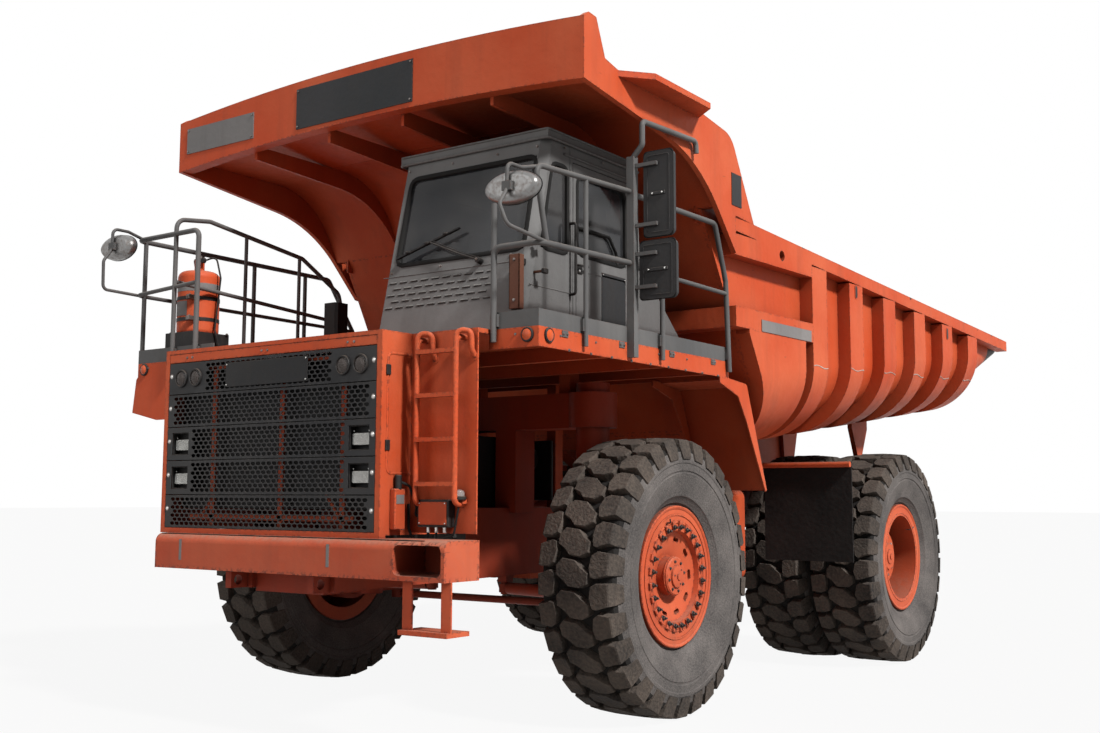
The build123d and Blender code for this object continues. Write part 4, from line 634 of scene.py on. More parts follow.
def make_tyre(build, centre, worn):
    """Carcass with ringed sidewalls, a wide centre row of rock lugs and a row down each shoulder."""
    section = list(carcass_section) + [(r, -v) for r, v in reversed(carcass_section[:-1])]
    section += [(bead_r, -bead_half), (bead_r, bead_half)]
    count = len(section)
    fall, chip = (0.01, 0.009) if worn else (0.004, 0.0035)

    def at(aside, radius, angle):
        return (centre[0] + aside, centre[1] + radius * cos(angle), centre[2] + radius * sin(angle))

    faces, slots = [], []
    for i in range(carcass_steps):
        n = (i + 1) % carcass_steps
        for j in range(count):
            k = (j + 1) % count
            faces.append((i * count + j, i * count + k, n * count + k, n * count + j))
            # the carcass between the lugs takes the darker groove rubber, which is painted shade
            slots.append(1 if (section[j][0] + section[k][0]) / 2 < groove_r else 2)
    angles = [tau * i / carcass_steps for i in range(carcass_steps)]
    build.add([at(v, r, angle) for angle in angles for r, v in section], faces, slots)
    for row, outline in ((1, shoulder_outline), (-1, shoulder_outline), (1, centre_outline)):
        shoulder = outline is shoulder_outline
        start = (0.0 if row > 0 else 0.5) + (0.0 if shoulder else 0.25)
        middle_a, middle_v = (sum(p[i] for p in outline) / len(outline) for i in (0, 1))
        for k in range(pitches):
            lift = -rng.random() * fall
            jitter = [(rng.uniform(-1, 1), rng.uniform(-1, 1)) for _ in outline]
            rings = []
            for depth, grow, outward in shoulder_levels if shoulder else centre_levels:
                narrow = 0.86 if shoulder and depth > 0.1 else 1
                ring = []
                for (a, v), (ja, jv) in zip(outline, jitter):
                    along = middle_a + (a - middle_a) * grow * narrow + ja * chip
                    if shoulder and v > shoulder_edge:
                        aside = v + outward
                    else:
                        aside = middle_v + (v - middle_v) * grow + jv * chip
                    radius = crown(aside) - depth + (lift if depth < 0.02 else 0)
                    angle = (k + start) * tau / pitches + along / tyre_r * row
                    ring.append(at(row * aside, radius, angle))
                rings.append(ring)
            build.rings(rings, 0, start_cap=False)


def make_tyres():
    """Front tyres, and rear pairs, in place of the plain CAD ones."""
    for side, hand in sides_of_truck:
        for end, xs, y, worn, node in (("front", [front_x], axle_y, False, "front_tyre"),
                                       ("rear", [rear_outer_x, rear_inner_x], rear_y, True, "rear_tyres")):
            build = Build(f"{end}_tread_{hand}", tread_rubber, wall_rubber, shaded_groove_rubber)
            for x in xs:
                make_tyre(build, (side * x, y, axle_z), worn)
            build.object(f"{end}_wheel_{hand}", 28, [f"{node}_{hand}"])


make_tyres()


# ---------- grille, lamps and their blank plate
grille_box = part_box("radiator_grille")
grille_y = grille_box[0].y
grille_half = grille_box[1].x
grille_edges = [grille_box[0].z, 1.657, 1.912, 2.162, 2.409, 2.649]
lamp_x, lamp_half = 0.93, 0.095
cell_w, hole_w = 0.0553, 0.048
grille_rows = 7
sheet_t, sheet_gap = 0.005, 0.004
screw_inset = 0.028
hole_sides = 12


def perforated(build, x0, x1, z0, z1, y):
    """Sheet of staggered stretched-hexagon cells, each with an oval hole, and plain rims above and below.

    Returns the sheet's outer end in x.
    """
    row_h = (z1 - z0 - 0.01) / (grille_rows + 1 / 3)
    hole_h = row_h * 0.9
    columns = int((x1 - x0) / cell_w)
    left = (x0 + x1 - columns * cell_w) / 2
    tall, short = row_h * 2 / 3, row_h / 3
    between = (tall + short) / 2
    middle = (z0 + z1) / 2
    half, quarter = cell_w / 2, cell_w / 4
    upper = [(0, tall), (quarter, between), (half, short), (half, 0), (half, -short), (quarter, -between)]
    cell = upper + [(-x, -z) for x, z in upper]
    hole = []
    for i in range(hole_sides):
        angle = pi / 2 - tau * i / hole_sides
        c, s = cos(angle), sin(angle)
        hole.append((hole_w / 2 * (1 if c > 0 else -1) * abs(c) ** 0.8,
                     hole_h / 2 * (1 if s > 0 else -1) * abs(s) ** 0.8))
    cell_faces = []
    for i in range(hole_sides):
        j = (i + 1) % hole_sides
        for low in (0, hole_sides, 2 * hole_sides):
            high = low + hole_sides
            cell_faces.append((low + i, low + j, high + j, high + i))

    def put(points):
        corners = [(x, y + depth, z) for depth in (0, sheet_t) for x, z in points]
        build.add(corners, [(0, 1, 2, 3), (7, 6, 5, 4)])

    for row in range(grille_rows):
        z = middle + (row - (grille_rows - 1) / 2) * row_h
        odd = row % 2
        for k in range(columns - odd):
            x = left + (k + 0.5 + odd / 2) * cell_w
            layers = ((cell, 0), (hole, 0), (hole, sheet_t), (cell, sheet_t))
            points = [(x + a, y + depth, z + b) for ring, depth in layers for a, b in ring]
            build.add(points, cell_faces)
        if odd:
            for edge, inward in ((left, 1), (left + columns * cell_w, -1)):
                far = edge + inward * half
                put([(edge, z - tall), (edge, z + tall), (far, z + short), (far, z - short)])
    low, high = middle - (grille_rows - 1) / 2 * row_h, middle + (grille_rows - 1) / 2 * row_h
    for k in range(columns):
        x = left + (k + 0.5) * cell_w
        for z, sign, border in ((low, -1, z0), (high, 1, z1)):
            put([(x - half, z + sign * short), (x, z + sign * tall), (x, border), (x - half, border)])
            put([(x, z + sign * tall), (x + half, z + sign * short), (x + half, border), (x, border)])
    return left + columns * cell_w


def round_lamp(build, x, y, z, radius):
    """Round lamp: black bezel, bright bowl, bulb cap and domed lens."""
    bezel = [(radius, 0), (radius, 0.01), (radius * 0.96, 0.015), (radius * 0.84, 0.015),
             (radius * 0.8, 0.01), (radius * 0.8, 0.002)]
    bowl = [(radius * 0.8 * t, -0.045 * (1 - t * t)) for t in (1, 0.85, 0.65, 0.4, 0.15)]
    cap = [(0.012, -0.045), (0.012, -0.02), (0.006, -0.012)]
    lens = [(radius * 0.81, 0.006), (radius * 0.7, 0.011), (radius * 0.4, 0.016), (0.003, 0.018)]
    build.turned((x, y, z), ahead, bezel, 40, 1, False)
    build.turned((x, y, z), ahead, bowl, 40, 2, False)
    build.turned((x, y, z), ahead, cap, 16, 3)
    build.turned((x, y, z), ahead, lens, 40, 4)


def make_grille():
    """Five perforated sheets over orange bars, screwed down at both ends, and the blank plate."""
    build = Build("grille_sheets", grille_gray, black_paint, reflector, old_steel, smoked_lens, zinc)
    y = grille_y + 0.0005
    outer = grille_half - sheet_gap

    def sheet(xa, xb, za, zb):
        build.block((xa, y, za), (xb, y + sheet_t, zb), 0.0008)

    for index, (z0, z1) in enumerate(zip(grille_edges, grille_edges[1:])):
        z0, z1 = z0 + sheet_gap, z1 - sheet_gap
        middle = (z0 + z1) / 2
        top, lamps = index == 4, index in (1, 2)
        reach = 0.665 if top else (0.82 if lamps else 1.045)
        inner = perforated(build, -reach, reach, z0 + sheet_gap, z1 - sheet_gap, y)
        for z, upright in ((z0, 1), (z1, -1)):
            build.block((-inner, y, z), (inner, y + sheet_t, z + upright * sheet_gap), 0.0004)
        for side in (1, -1):
            if lamps:
                # plain end with the lamp's opening in it
                a0, a1 = sorted((side * (lamp_x - lamp_half), side * (lamp_x + lamp_half)))
                c0, c1 = middle - lamp_half + 0.012, middle + lamp_half - 0.012
                x0, x1 = sorted((side * inner, side * outer))
                for strip in ((x0, x1, z0, c0), (x0, x1, c1, z1), (x0, a0, c0, c1), (a1, x1, c0, c1)):
                    sheet(*strip)
            else:
                sheet(side * inner, side * outer, z0, z1)
            if top:
                for x in (0.772, 0.938):
                    round_lamp(build, side * x, y, middle, 0.068)
            screw = (side * (grille_half - screw_inset), y, middle + 0.02)
            build.turned(screw, ahead, [(0.013, 0), (0.013, 0.002), (0.01, 0.006), (0.004, 0.008)], 20, 5)
            build.turned(screw, ahead, [(0.019, -0.001), (0.019, 0.0012)], 20, 3)
        # returned edges of each sheet, front to back
        for z in (z0, z1):
            build.block((-outer, y + sheet_t, z - 0.0015), (outer, y + 0.022, z + 0.0015), 0.0005)
    plate_y = y - 0.0045
    build.block((-0.43, plate_y, 2.44), (0.43, y - 0.0003, 2.618), 0.002, 1)
    build.bolts([(x, plate_y, z) for x in (-0.415, 0.415) for z in (2.455, 2.603)], ahead, 0.006, 5, False)
    build.object("chassis", 25, ["radiator_grille"])


def make_headlamps():
    """Rectangular lamps deep in black boxes, with a bright bowl and a ribbed lens."""
    build = Build("lamp_boxes", black_paint, reflector, clear_lens, zinc)
    wall, deep = 0.004, 0.062
    reach, tall = lamp_half - 0.003, lamp_half - 0.014
    lens_w, lens_h, corner = 0.082, 0.044, 0.012
    outline = []
    for cx, cz, start in ((1, 1, 0), (-1, 1, 1), (-1, -1, 2), (1, -1, 3)):
        for a in (pi / 2 * (start + k / 4) for k in range(5)):
            u = cx * (lens_w - corner) + corner * cos(a)
            outline.append((u, cz * (lens_h - corner) + corner * sin(a)))
    small = [(u * 0.93, v * 0.88) for u, v in outline]
    lens_drop = -0.008
    for side in (1, -1):
        for z0, z1 in (grille_edges[1:3], grille_edges[2:4]):
            centre = Vector((side * lamp_x, grille_y + 0.008, (z0 + z1) / 2))
            at = lambda u, back, v: centre + Vector((u, back, v))
            box = lambda low, high, edge, slot: build.block(at(*low), at(*high), edge, slot)
            for s in (1, -1):
                box((s * reach, 0, -tall), (s * (reach - wall), deep, tall), 0.001, 0)
                box((-reach, 0, s * tall), (reach, deep, s * (tall - wall)), 0.001, 0)
            box((-reach, deep - wall, -tall), (reach, deep, tall), 0.001, 0)
            # housing, bowl and lens: outline, depth, thickness, edge, slot
            for shape, back, thick, edge, slot in ((outline, 0.04, 0.016, 0.002, 0),
                                                   (small, 0.024, 0.004, 0.001, 1),
                                                   (small, 0.018, 0.006, 0.002, 2)):
                build.plate(shape, lambda u, v, d: at(u, back - d, lens_drop + v), thick, edge, slot)
            for u in (k * 0.0115 for k in range(-6, 7)):
                low, high = lens_drop - 0.034, lens_drop + 0.034
                box((u - 0.0012, 0.0105, low), (u + 0.0012, 0.0125, high), 0.0006, 2)
            screws = [at(u, 0.024, lens_drop + 0.054) for u in (-0.07, 0.07)]
            build.bolts(screws, ahead, 0.005, 3, False)
    build.object("chassis", 30, ["headlamps"])


def make_grille_back():
    """Orange bars of the core guard, seen through the holes."""
    build = Build("core_guard", orange)
    y = grille_y + 0.045
    for x in (-0.6, 0.13, 0.74):
        build.block((x - 0.025, y, 1.43), (x + 0.025, y + 0.02, 2.6), 0.002)
    for z0, z1 in ((1.475, 1.515), (2.585, 2.615)):
        build.block((-0.85, y, z0), (0.85, y + 0.018, z1), 0.002)
    for side in (1, -1):
        build.tube([(side * 0.72, y + 0.01, 1.5), (side * 0.58, y + 0.01, 1.66)], 0.012, sides=8)
    build.object("chassis")


make_grille()
make_headlamps()
make_grille_back()


# ---------- wheel fastenings
ring_nuts, clamp_nuts, cover_bolts = 24, 12, 10
nut_ring_r, clamp_ring_r, cover_ring_r = 0.371, 0.35, 0.2
rear_disc_at, rear_cover_at = -0.284, -0.125


def polar(centre, side):
    """Gives at(radius, angle, lift), a point round a wheel's centre, lifted outwards."""
    def at(radius, angle, lift=0.0):
        return centre + Vector((side * lift, radius * cos(angle), radius * sin(angle)))

    return at


def make_front_wheel(side, hand):
    """Nuts, studs and wedge clamps on the rim's ring, hub cover bolts, rim seams and a valve."""
    build = Build(f"front_wheel_trim_{hand}", orange, nut_black, black_paint)
    out = Vector((side, 0, 0))
    centre = Vector((side * (front_x + 0.244), axle_y, axle_z))
    at = polar(centre, side)
    # inner and outer radius, half width at each, lift at each, from the wedge's foot to its top
    wedge_levels = ((0.352, 0.414, 0.017, 0.024, -0.001, -0.001), (0.352, 0.414, 0.017, 0.024, 0.01, 0.015),
                    (0.356, 0.409, 0.014, 0.02, 0.013, 0.019))
    for k in range(ring_nuts):
        a = tau * (k + 0.5) / ring_nuts
        across = Vector((0, -sin(a), cos(a)))
        rings = []
        for r0, r1, w0, w1, h0, h1 in wedge_levels:
            corners = ((r0, -w0, h0), (r0, w0, h0), (r1, w1, h1), (r1, -w1, h1))
            rings.append([at(r, a, lift) + across * w for r, w, lift in corners])
        build.rings(rings, 0)
        build.bolt(at(nut_ring_r, a, 0.013), out, 0.0165, 1)
        build.cylinder(at(nut_ring_r, a, 0.016), at(nut_ring_r, a, 0.048), 0.0095, 10, 0.002, 1)
    for sides, seam in (
            (96, [(0.447, -0.022), (0.424, -0.022), (0.419, -0.002), (0.404, 0.004), (0.398, 0)]),
            (96, [(0.532, -0.002), (0.531, 0.006), (0.524, 0.01), (0.512, 0.008), (0.505, 0.002)]),
            (96, [(0.47, 0.0005), (0.47, 0.006), (0.458, 0.006), (0.458, 0.0005)]),
            (48, [(0.146, -0.02), (0.151, -0.022), (0.151, -0.03), (0.146, -0.032)])):
        build.turned(centre, out, seam, sides, 0, False)
    build.bolts([at(0.112, tau * k / 8 + 0.2) for k in range(8)], out, 0.0095, 1)
    cap = [(0.086, 0.0), (0.084, 0.014), (0.06, 0.02), (0.03, 0.022), (0.028, 0.03), (0.01, 0.031)]
    build.turned(centre, out, cap, 40, 0)
    build.bolts([at(0.06, tau * k / 3 + 0.9, 0.019) for k in range(3)], out, 0.006, 1, False)
    build.tube([at(0.425, 1.9, -0.004), at(0.425, 1.9, 0.03), at(0.46, 1.92, 0.04)], 0.006, 0.01, 8, 2)
    build.object(f"front_wheel_{hand}")


def make_rear_wheel(side, hand):
    """Hub cover bolts, clamps deep in the outer rim, rim seams and a valve pipe."""
    build = Build(f"rear_wheel_trim_{hand}", orange, old_steel)
    out = Vector((side, 0, 0))
    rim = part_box(f"rear_rims_{hand}")
    centre = Vector((max(abs(rim[0].x), abs(rim[1].x)) * side, rear_y, axle_z))
    at = polar(centre, side)
    for seam in ([(0.531, -0.003), (0.53, 0.005), (0.522, 0.009), (0.51, 0.007), (0.503, 0.001)],
                 [(0.452, -0.006), (0.447, 0.004), (0.436, 0.004), (0.428, -0.008)]):
        build.turned(centre, out, seam, 96, 0, False)
    for k in range(clamp_nuts):
        a = tau * (k + 0.4) / clamp_nuts
        foot = at(clamp_ring_r, a, rear_disc_at)
        build.bolt(foot, out, 0.016, 1)
        build.cylinder(foot, at(clamp_ring_r, a, rear_disc_at + 0.04), 0.009, 10, 0.002, 1)
    ring = [at(cover_ring_r, tau * k / cover_bolts, -0.174) for k in range(cover_bolts)]
    build.bolts(ring, out, 0.013, 1)
    cap = [(0.075, 0.0), (0.073, 0.01), (0.03, 0.014), (0.028, 0.024), (0.008, 0.025)]
    build.turned(centre + out * rear_cover_at, out, cap, 36, 0)
    build.tube([at(0.428, 0.7, -0.1), at(0.418, 0.7, -0.02), at(0.455, 0.71, 0.012)], 0.007, 0.02, 8, 1)
    build.object(f"rear_wheel_{hand}")


for side, hand in sides_of_truck:
    make_front_wheel(side, hand)
    make_rear_wheel(side, hand)


# ---------- cab
cab_left_x, cab_right_x = 1.72, 0.336
cab_rake = 0.342 / 1.522
rake_cos, rake_sin = 1 / sqrt(1 + cab_rake ** 2), cab_rake / sqrt(1 + cab_rake ** 2)
front_out = Vector((0, -rake_cos, rake_sin))
door_u = (-0.925, -0.262)
roof_z, gutter_out = 4.2, 0.016
louvre_rows, louvre_columns = 5, 10
louvre_pitch_x, louvre_pitch_z, louvre_half = 0.104, 0.049, 0.036


def cab_front(z):
    """Y of the cab's raked front face."""
    return st(-1.622 + (z - 2.748) * cab_rake)


def on_front(u, v, d):
    """Point on the cab's front face: u across, v height, d outwards."""
    return Vector((u, cab_front(v) - d * rake_cos, v + d * rake_sin))


def on_left(u, v, d):
    """Point on the cab's left side: u station, v height."""
    return Vector((cab_left_x + d, st(u), v))


def make_cab_seals():
    """Rubber round every window, the door's window bar and the pressed line of its panel."""
    build = Build("cab_seals", seal_rubber)
    on_right = lambda u, v, d: (cab_right_x - d, st(u), v)
    on_rear = lambda u, v, d: (u, st(-0.11) + d, v)
    for outline, place, half, low, high in (
            (rounded_box(0.456, 1.65, 3.37, 4.07, 0.075), on_front, 0.016, -0.014, 0.009),
            (rounded_box(-1.375, -1.045, 3.39, 4.03, 0.07, 0.14), on_left, 0.014, -0.018, 0.008),
            (rounded_box(-1.375, -0.26, 3.39, 4.03, 0.07, 0.14), on_right, 0.02, -0.018, 0.008),
            (rounded_box(0.56, 1.5, 3.6, 4.08, 0.07), on_rear, 0.02, -0.05, 0.008)):
        build.strip_round(outline, place, half, low, high)
    build.object("chassis")
    build = Build("door_seals", seal_rubber, gray)
    build.strip_round(rounded_box(*door_u, 3.41, 4.005, 0.09), on_left, 0.014, -0.018, 0.008)
    bar = ((door_u[0], 3.612), (-0.5, 3.612), (-0.4, 3.5), (-0.4, 3.41))
    build.tube([on_left(u, v, 0.002) for u, v in bar], 0.012, 0.05, 8, 0)
    build.strip_round(rounded_box(-0.93, -0.26, 2.9, 3.3, 0.05), on_left, 0.01, -0.001, 0.004, 1)
    build.object("cab_door")


def make_wiper(build):
    """Pivot, two arms and a blade over the windscreen."""
    pivot = on_front(1.284, 3.313, 0.0)
    build.cylinder(pivot, pivot + front_out * 0.05, 0.022, 16, 0.003, 1)
    build.bolt(pivot + front_out * 0.05, front_out, 0.011, 2, False)
    arm = [pivot + front_out * 0.04, on_front(1.1, 3.375, 0.062), on_front(0.8, 3.5, 0.05)]
    build.tube(arm, 0.007, 0.03, 8, 1)
    rod = [on_front(1.27, 3.335, 0.045), on_front(1.09, 3.395, 0.06), on_front(0.82, 3.51, 0.048)]
    build.tube(rod, 0.004, 0.03, 6, 1)
    a, b = on_front(0.484, 3.41, 0.034), on_front(1.06, 3.585, 0.034)
    section = ((0.0, -0.004), (0.012, -0.006), (0.012, 0.006), (0.0, 0.004), (-0.016, 0.0))
    ends = (a, a.lerp(b, 0.5), b)
    build.rings([[p + front_out * d + Vector((0, 0, w)) for d, w in section] for p in ends], 1)
    for t in (0.2, 0.5, 0.8):
        p = a.lerp(b, t)
        build.block(p + Vector((-0.02, -0.03, -0.006)), p + Vector((0.02, -0.006, 0.01)), 0.003, 1)


def make_cab_trim():
    """Louvres, wiper, gutters, seams, bolts, grab bar, and the channel and small lamps of the corner."""
    build = Build("cab_trim", gray, black_paint, old_steel, rusty)
    # pressed air slots under the windscreen, each a hood over a black strip of painted shade for the slit
    half = louvre_half
    hood = ((0.012, -0.001), (0.007, 0.004), (-0.001, 0.0075), (-0.003, 0.006), (-0.002, -0.001))
    for row in range(louvre_rows):
        z = 3.235 - row * louvre_pitch_z
        for k in range(louvre_columns):
            x = 0.455 + k * louvre_pitch_x + (louvre_pitch_x / 2 if row % 2 else 0)
            if x > 1.44:
                continue
            ends = [[on_front(x + s * half, z + v, d) for v, d in hood] for s in (-1, 1)]
            build.rings([[a.lerp(b, t) for a, b in zip(*ends)] for t in (0.0, 0.12, 0.88, 1.0)], 0)
            # black strip: painted shade of the slit under the hood
            build.plate(box_of(x - half, x + half, z - 0.009, z - 0.0025), on_front, 0.0012, 0.0004, 1)
    make_wiper(build)
    # roof gutters and seams
    front_y = cab_front(4.27) - 0.027
    left_x, right_x = cab_left_x + gutter_out, cab_right_x - gutter_out
    corners = [(right_x, st(-0.098)), (right_x, front_y), (left_x, front_y), (left_x, st(-0.098))]
    build.tube([(x, y, roof_z) for x, y in corners], 0.011, 0.03, 8, 0)
    build.tube([(x, y, roof_z + 0.062) for x, y in corners], 0.008, 0.03, 8, 0)
    build.bolts([on_front(x, 4.14, 0.001) for x in (0.42, 0.85, 1.28, 1.64)], front_out, 0.008, 2)
    low_bolts = ((0.42, 3.315), (0.9, 3.325), (1.55, 3.335))
    build.bolts([on_front(x, z, 0.0) for x, z in low_bolts], front_out, 0.009, 2)
    # seams and the rain strip: path, radius
    for path, r in (([on_front(0.345, 3.285, 0.0), on_front(1.66, 3.285, 0.0)], 0.004),
                    ([on_left(-1.5, 3.11, 0.0), on_left(-1.02, 3.11, 0.0)], 0.0035),
                    ([on_left(-1.014, 2.8, 0.0), on_left(-1.014, 4.19, 0.0)], 0.006),
                    ([on_left(-1.1, 4.12, 0.006), on_left(-0.15, 4.12, 0.006)], 0.008)):
        build.tube(path, r, 0.01, 6, 0)
    # rust-brown channel and small lamps on the front corner
    x0, y0, wide = 1.665, cab_front(3.15) - 0.075, 0.045
    build.block((x0 - wide, y0, 2.93), (x0 + wide, y0 + 0.008, 3.31), 0.002, 3)
    for s in (-1, 1):
        build.block((x0 + s * wide, y0, 2.93), (x0 + s * (wide - 0.008), y0 + 0.055, 3.31), 0.002, 3)
    for z in (2.99, 3.27):
        build.block((x0 - 0.02, y0 + 0.006, z - 0.02), (x0 + 0.02, cab_front(z) + 0.01, z + 0.02), 0.002, 1)
        build.bolt((x0, y0, z), ahead, 0.009, 2)
    for z, reach in ((3.4, 0.05), (3.2, 0.075)):
        build.block(on_left(-1.46, z - 0.008, 0), on_left(-1.44, z + 0.008, reach), 0.002, 3)
        build.block(on_left(-1.47, z - 0.018, reach), on_left(-1.42, z + 0.018, reach + 0.03), 0.004, 1)
    # grab bar
    bar = [on_left(-1.02, v, d) for v, d in ((3.1, 0.004), (3.1, 0.055), (3.62, 0.055), (3.62, 0.004))]
    build.tube(bar, 0.011, 0.03, 8, 1)
    build.bolts([on_left(y, 4.165, 0.012) for y in (-0.14, -0.6, -1.1)], leftwards, 0.007, 2)
    build.object("chassis")


def make_door_trim():
    """Blank plate, handle, lock and hinge bolts of the door."""
    build = Build("door_trim", black_paint, zinc, plate_dark)
    build.plate(box_of(-0.6, -0.27, 2.9, 3.325), on_left, 0.004, 0.001, 2)
    screws = box_of(-0.585, -0.285, 2.915, 3.31)
    build.bolts([on_left(u, v, 0.004) for u, v in screws], leftwards, 0.005, 1, False)
    build.block(on_left(-0.955, 3.27, 0.0), on_left(-0.865, 3.34, 0.01), 0.004, 0)
    handle = ((-0.945, 0.008), (-0.945, 0.04), (-0.83, 0.04), (-0.83, 0.012))
    build.tube([on_left(u, 3.325, d) for u, d in handle], 0.008, 0.02, 8, 0)
    build.cylinder(on_left(-0.91, 3.29, 0.008), on_left(-0.91, 3.29, 0.018), 0.01, 14, 0.002, 1)
    hinges = [on_left(-0.236, z + v, 0.014) for z in (2.96, 3.9) for v in (0.012, 0.038)]
    build.bolts(hinges, leftwards, 0.006, 1, False)
    build.object("cab_door")


def make_cab_inside():
    """Dash, instrument pod, seat back, headrest and gear lever, dimly seen through the glass."""
    build = Build("cab_inside", interior_plastic, seat_cloth, black_paint)
    dash_y = cab_front(3.3)
    for low, high, edge, slot in (((0.55, dash_y + 0.12, 3.16), (1.55, dash_y + 0.36, 3.3), 0.03, 0),
                                  ((0.9, dash_y + 0.15, 3.3), (1.28, dash_y + 0.26, 3.42), 0.03, 0),
                                  (pt(0.84, -0.44, 3.3), pt(1.28, -0.34, 3.92), 0.05, 1),
                                  (pt(0.92, -0.43, 3.93), pt(1.2, -0.34, 4.1), 0.04, 1)):
        build.block(low, high, edge, slot)
    build.tube([pt(0.72, -0.8, 2.85), pt(0.72, -0.86, 3.22), pt(0.72, -0.9, 3.4)], 0.012, 0.05, 8, 2)
    build.cylinder(pt(0.72, -0.9, 3.38), pt(0.72, -0.905, 3.46), 0.03, 16, 0.01, 0)
    build.object("chassis")


make_cab_seals()
make_cab_trim()
make_door_trim()
make_cab_inside()


# ---------- canopy and dump body
body_nodes = ("dump_tub", "dump_ribs", "dump_side_rails", "dump_front_wall", "dump_canopy")
rib_first, rib_pitch, rib_count, rib_half = 2.237, 0.77, 6, 0.145
far_x, far_z = 3.2, 6.0
rail_start, rail_step, rail_points = 1.45, 0.0925, 64
rail_out_x, rail_search_step = 2.49, 0.025
rib_foot_z, rib_foot_step, rib_foot_points = 1.9, 0.075, 24
canopy_y = st(-1.493)


def from_side(hand, station, z):
    """Where a level ray from one side meets the dump body."""
    return onto(pt(far_x * hand, station, z), (-hand, 0, 0), *body_nodes)


def scuffed_edge(build, points, slot):
    """Ragged dark strip where loads have rubbed the rail's top bare."""
    rings = []
    for i, p in enumerate(points):
        wide = 0.012 + 0.03 * abs(sin(i * 1.7) * cos(i * 0.6 + 1))
        inward = -1 if p.x > 0 else 1
        low = 0.004 + 0.03 * max(0.0, sin(i * 1.3) * cos(i * 0.41 + 2))
        section = ((-0.0215, -low), (-0.0215, 0.002), (wide, 0.004), (wide + 0.004, 0.001))
        rings.append([p + Vector((inward * x, 0, z)) for x, z in section])
    build.rings(rings, slot)


def rail_top(hand):
    """Points along the outer edge of a side rail's top."""
    edge = []
    for step in range(rail_points):
        for out in range(12):
            x = hand * (rail_out_x - out * rail_search_step)
            top = onto(pt(x, rail_start + step * rail_step, far_z), down, "dump_side_rails")
            if top:
                edge.append(top + Vector((-hand * 0.02, 0, -0.003)))
                break
    return edge


def rib_foot(hand, y):
    """Points up the plate beside one face of an upright rib."""
    points = []
    for step in range(rib_foot_points):
        hit = onto((far_x * hand, y, rib_foot_z + step * rib_foot_step), (-hand, 0, 0), *body_nodes)
        if hit and abs(hit.x) > 1.2 and (not points or abs(hit.x - points[-1].x) < 0.09):
            points.append(hit)
        elif points:
            break
    return points


def make_body_trim():
    """Blank plates, weld beads, lifting holes and scuffs on the dump body."""
    build = Build("body_trim", plate_dark, plate_gray, weld_orange, black_scuffs_and_shade, old_steel, chalk)

    def on_canopy(u, v, d):
        hit = onto((u, canopy_y - 0.6, v), rearwards, *body_nodes)
        return Vector((u, canopy_y if hit is None else hit.y, v)) + Vector(ahead) * d

    side = lambda u, v, d: from_side(1, u, v) + Vector((d, 0, 0))
    build.plate(box_of(-0.67, 0.6, 4.62, 4.955), on_canopy, 0.006, 0.001, 0)
    build.plate(box_of(-2.06, -1.19, 4.64, 4.865), on_canopy, 0.006, 0.001, 1)
    for u, v in box_of(-0.65, 0.58, 4.64, 4.935) + box_of(-2.04, -1.21, 4.66, 4.845):
        build.bolt(on_canopy(u, v, 0.006), ahead, 0.008, 4, False)
    build.plate(box_of(0.65, 0.82, 4.03, 4.3), side, 0.005, 0.001, 0)
    sign = [side(u, v, 0.002) for u, v in box_of(1.15, 2.05, 3.04, 3.14)]
    build.rings([sign, [p + Vector((0.004, 0, 0)) for p in sign]], 1)
    for hand in (1, -1):
        # pale rub marks across the ribs
        for k in range(rib_count):
            points = []
            for step in range(7):
                station = rib_first + k * rib_pitch + (step / 3 - 1) * (rib_half - 0.004)
                points.append(from_side(hand, station, 2.83 + k * 0.035 + 0.01 * sin(k * 2 + step)))
            points = [p for p in points if p]
            if len(points) > 4:
                build.weld(points, 0.0045, 5)
        edge = rail_top(hand)
        if len(edge) > 8:
            scuffed_edge(build, edge, 3)
    for hand in (1, -1):
        # weld beads beside every upright rib, where the ribs meet the plate
        for k in range(rib_count):
            for edge in (-1, 1):
                points = rib_foot(hand, st(rib_first + k * rib_pitch + edge * (rib_half + 0.003)))
                if len(points) > 3:
                    build.weld(points, 0.0065, 2)
    slot_hole = [(u, v + (0.035 if v > 0 else -0.035)) for u, v in oval(0.024, 0.024, 20)]
    # slotted lifting holes high on two ribs: a raised ring round a black oval of painted shade for the hole
    for hand in (1, -1):
        for station, z in ((3.007, 3.62), (5.317, 3.46)):
            hit = from_side(hand, station, z)
            if hit is None:
                continue
            flat = lambda u, v, d: (hit.x + hand * d, hit.y + u, hit.z + v)
            deep = lambda u, v, d: flat(u, v, d + 0.0035)
            build.plate([(u * 1.35, v * 1.15) for u, v in slot_hole], flat, 0.004, 0.001, 2)
            # black oval: painted shade inside the hole
            build.plate(slot_hole, deep, 0.0015, 0.0005, 3)
    build.object("dump_body")


def tub_part(c, normal):
    """Which finish a face of the tub takes: worn load floor inside, scuffed tail, paint outside."""
    inward = normal.z > 0.35 or normal.x * c.x < -0.05 or (normal.y > 0.6 and c.y < st(2.0))
    if inward and abs(c.x) < 2.45:
        return 1
    return 2 if c.y > st(6.95) else 0


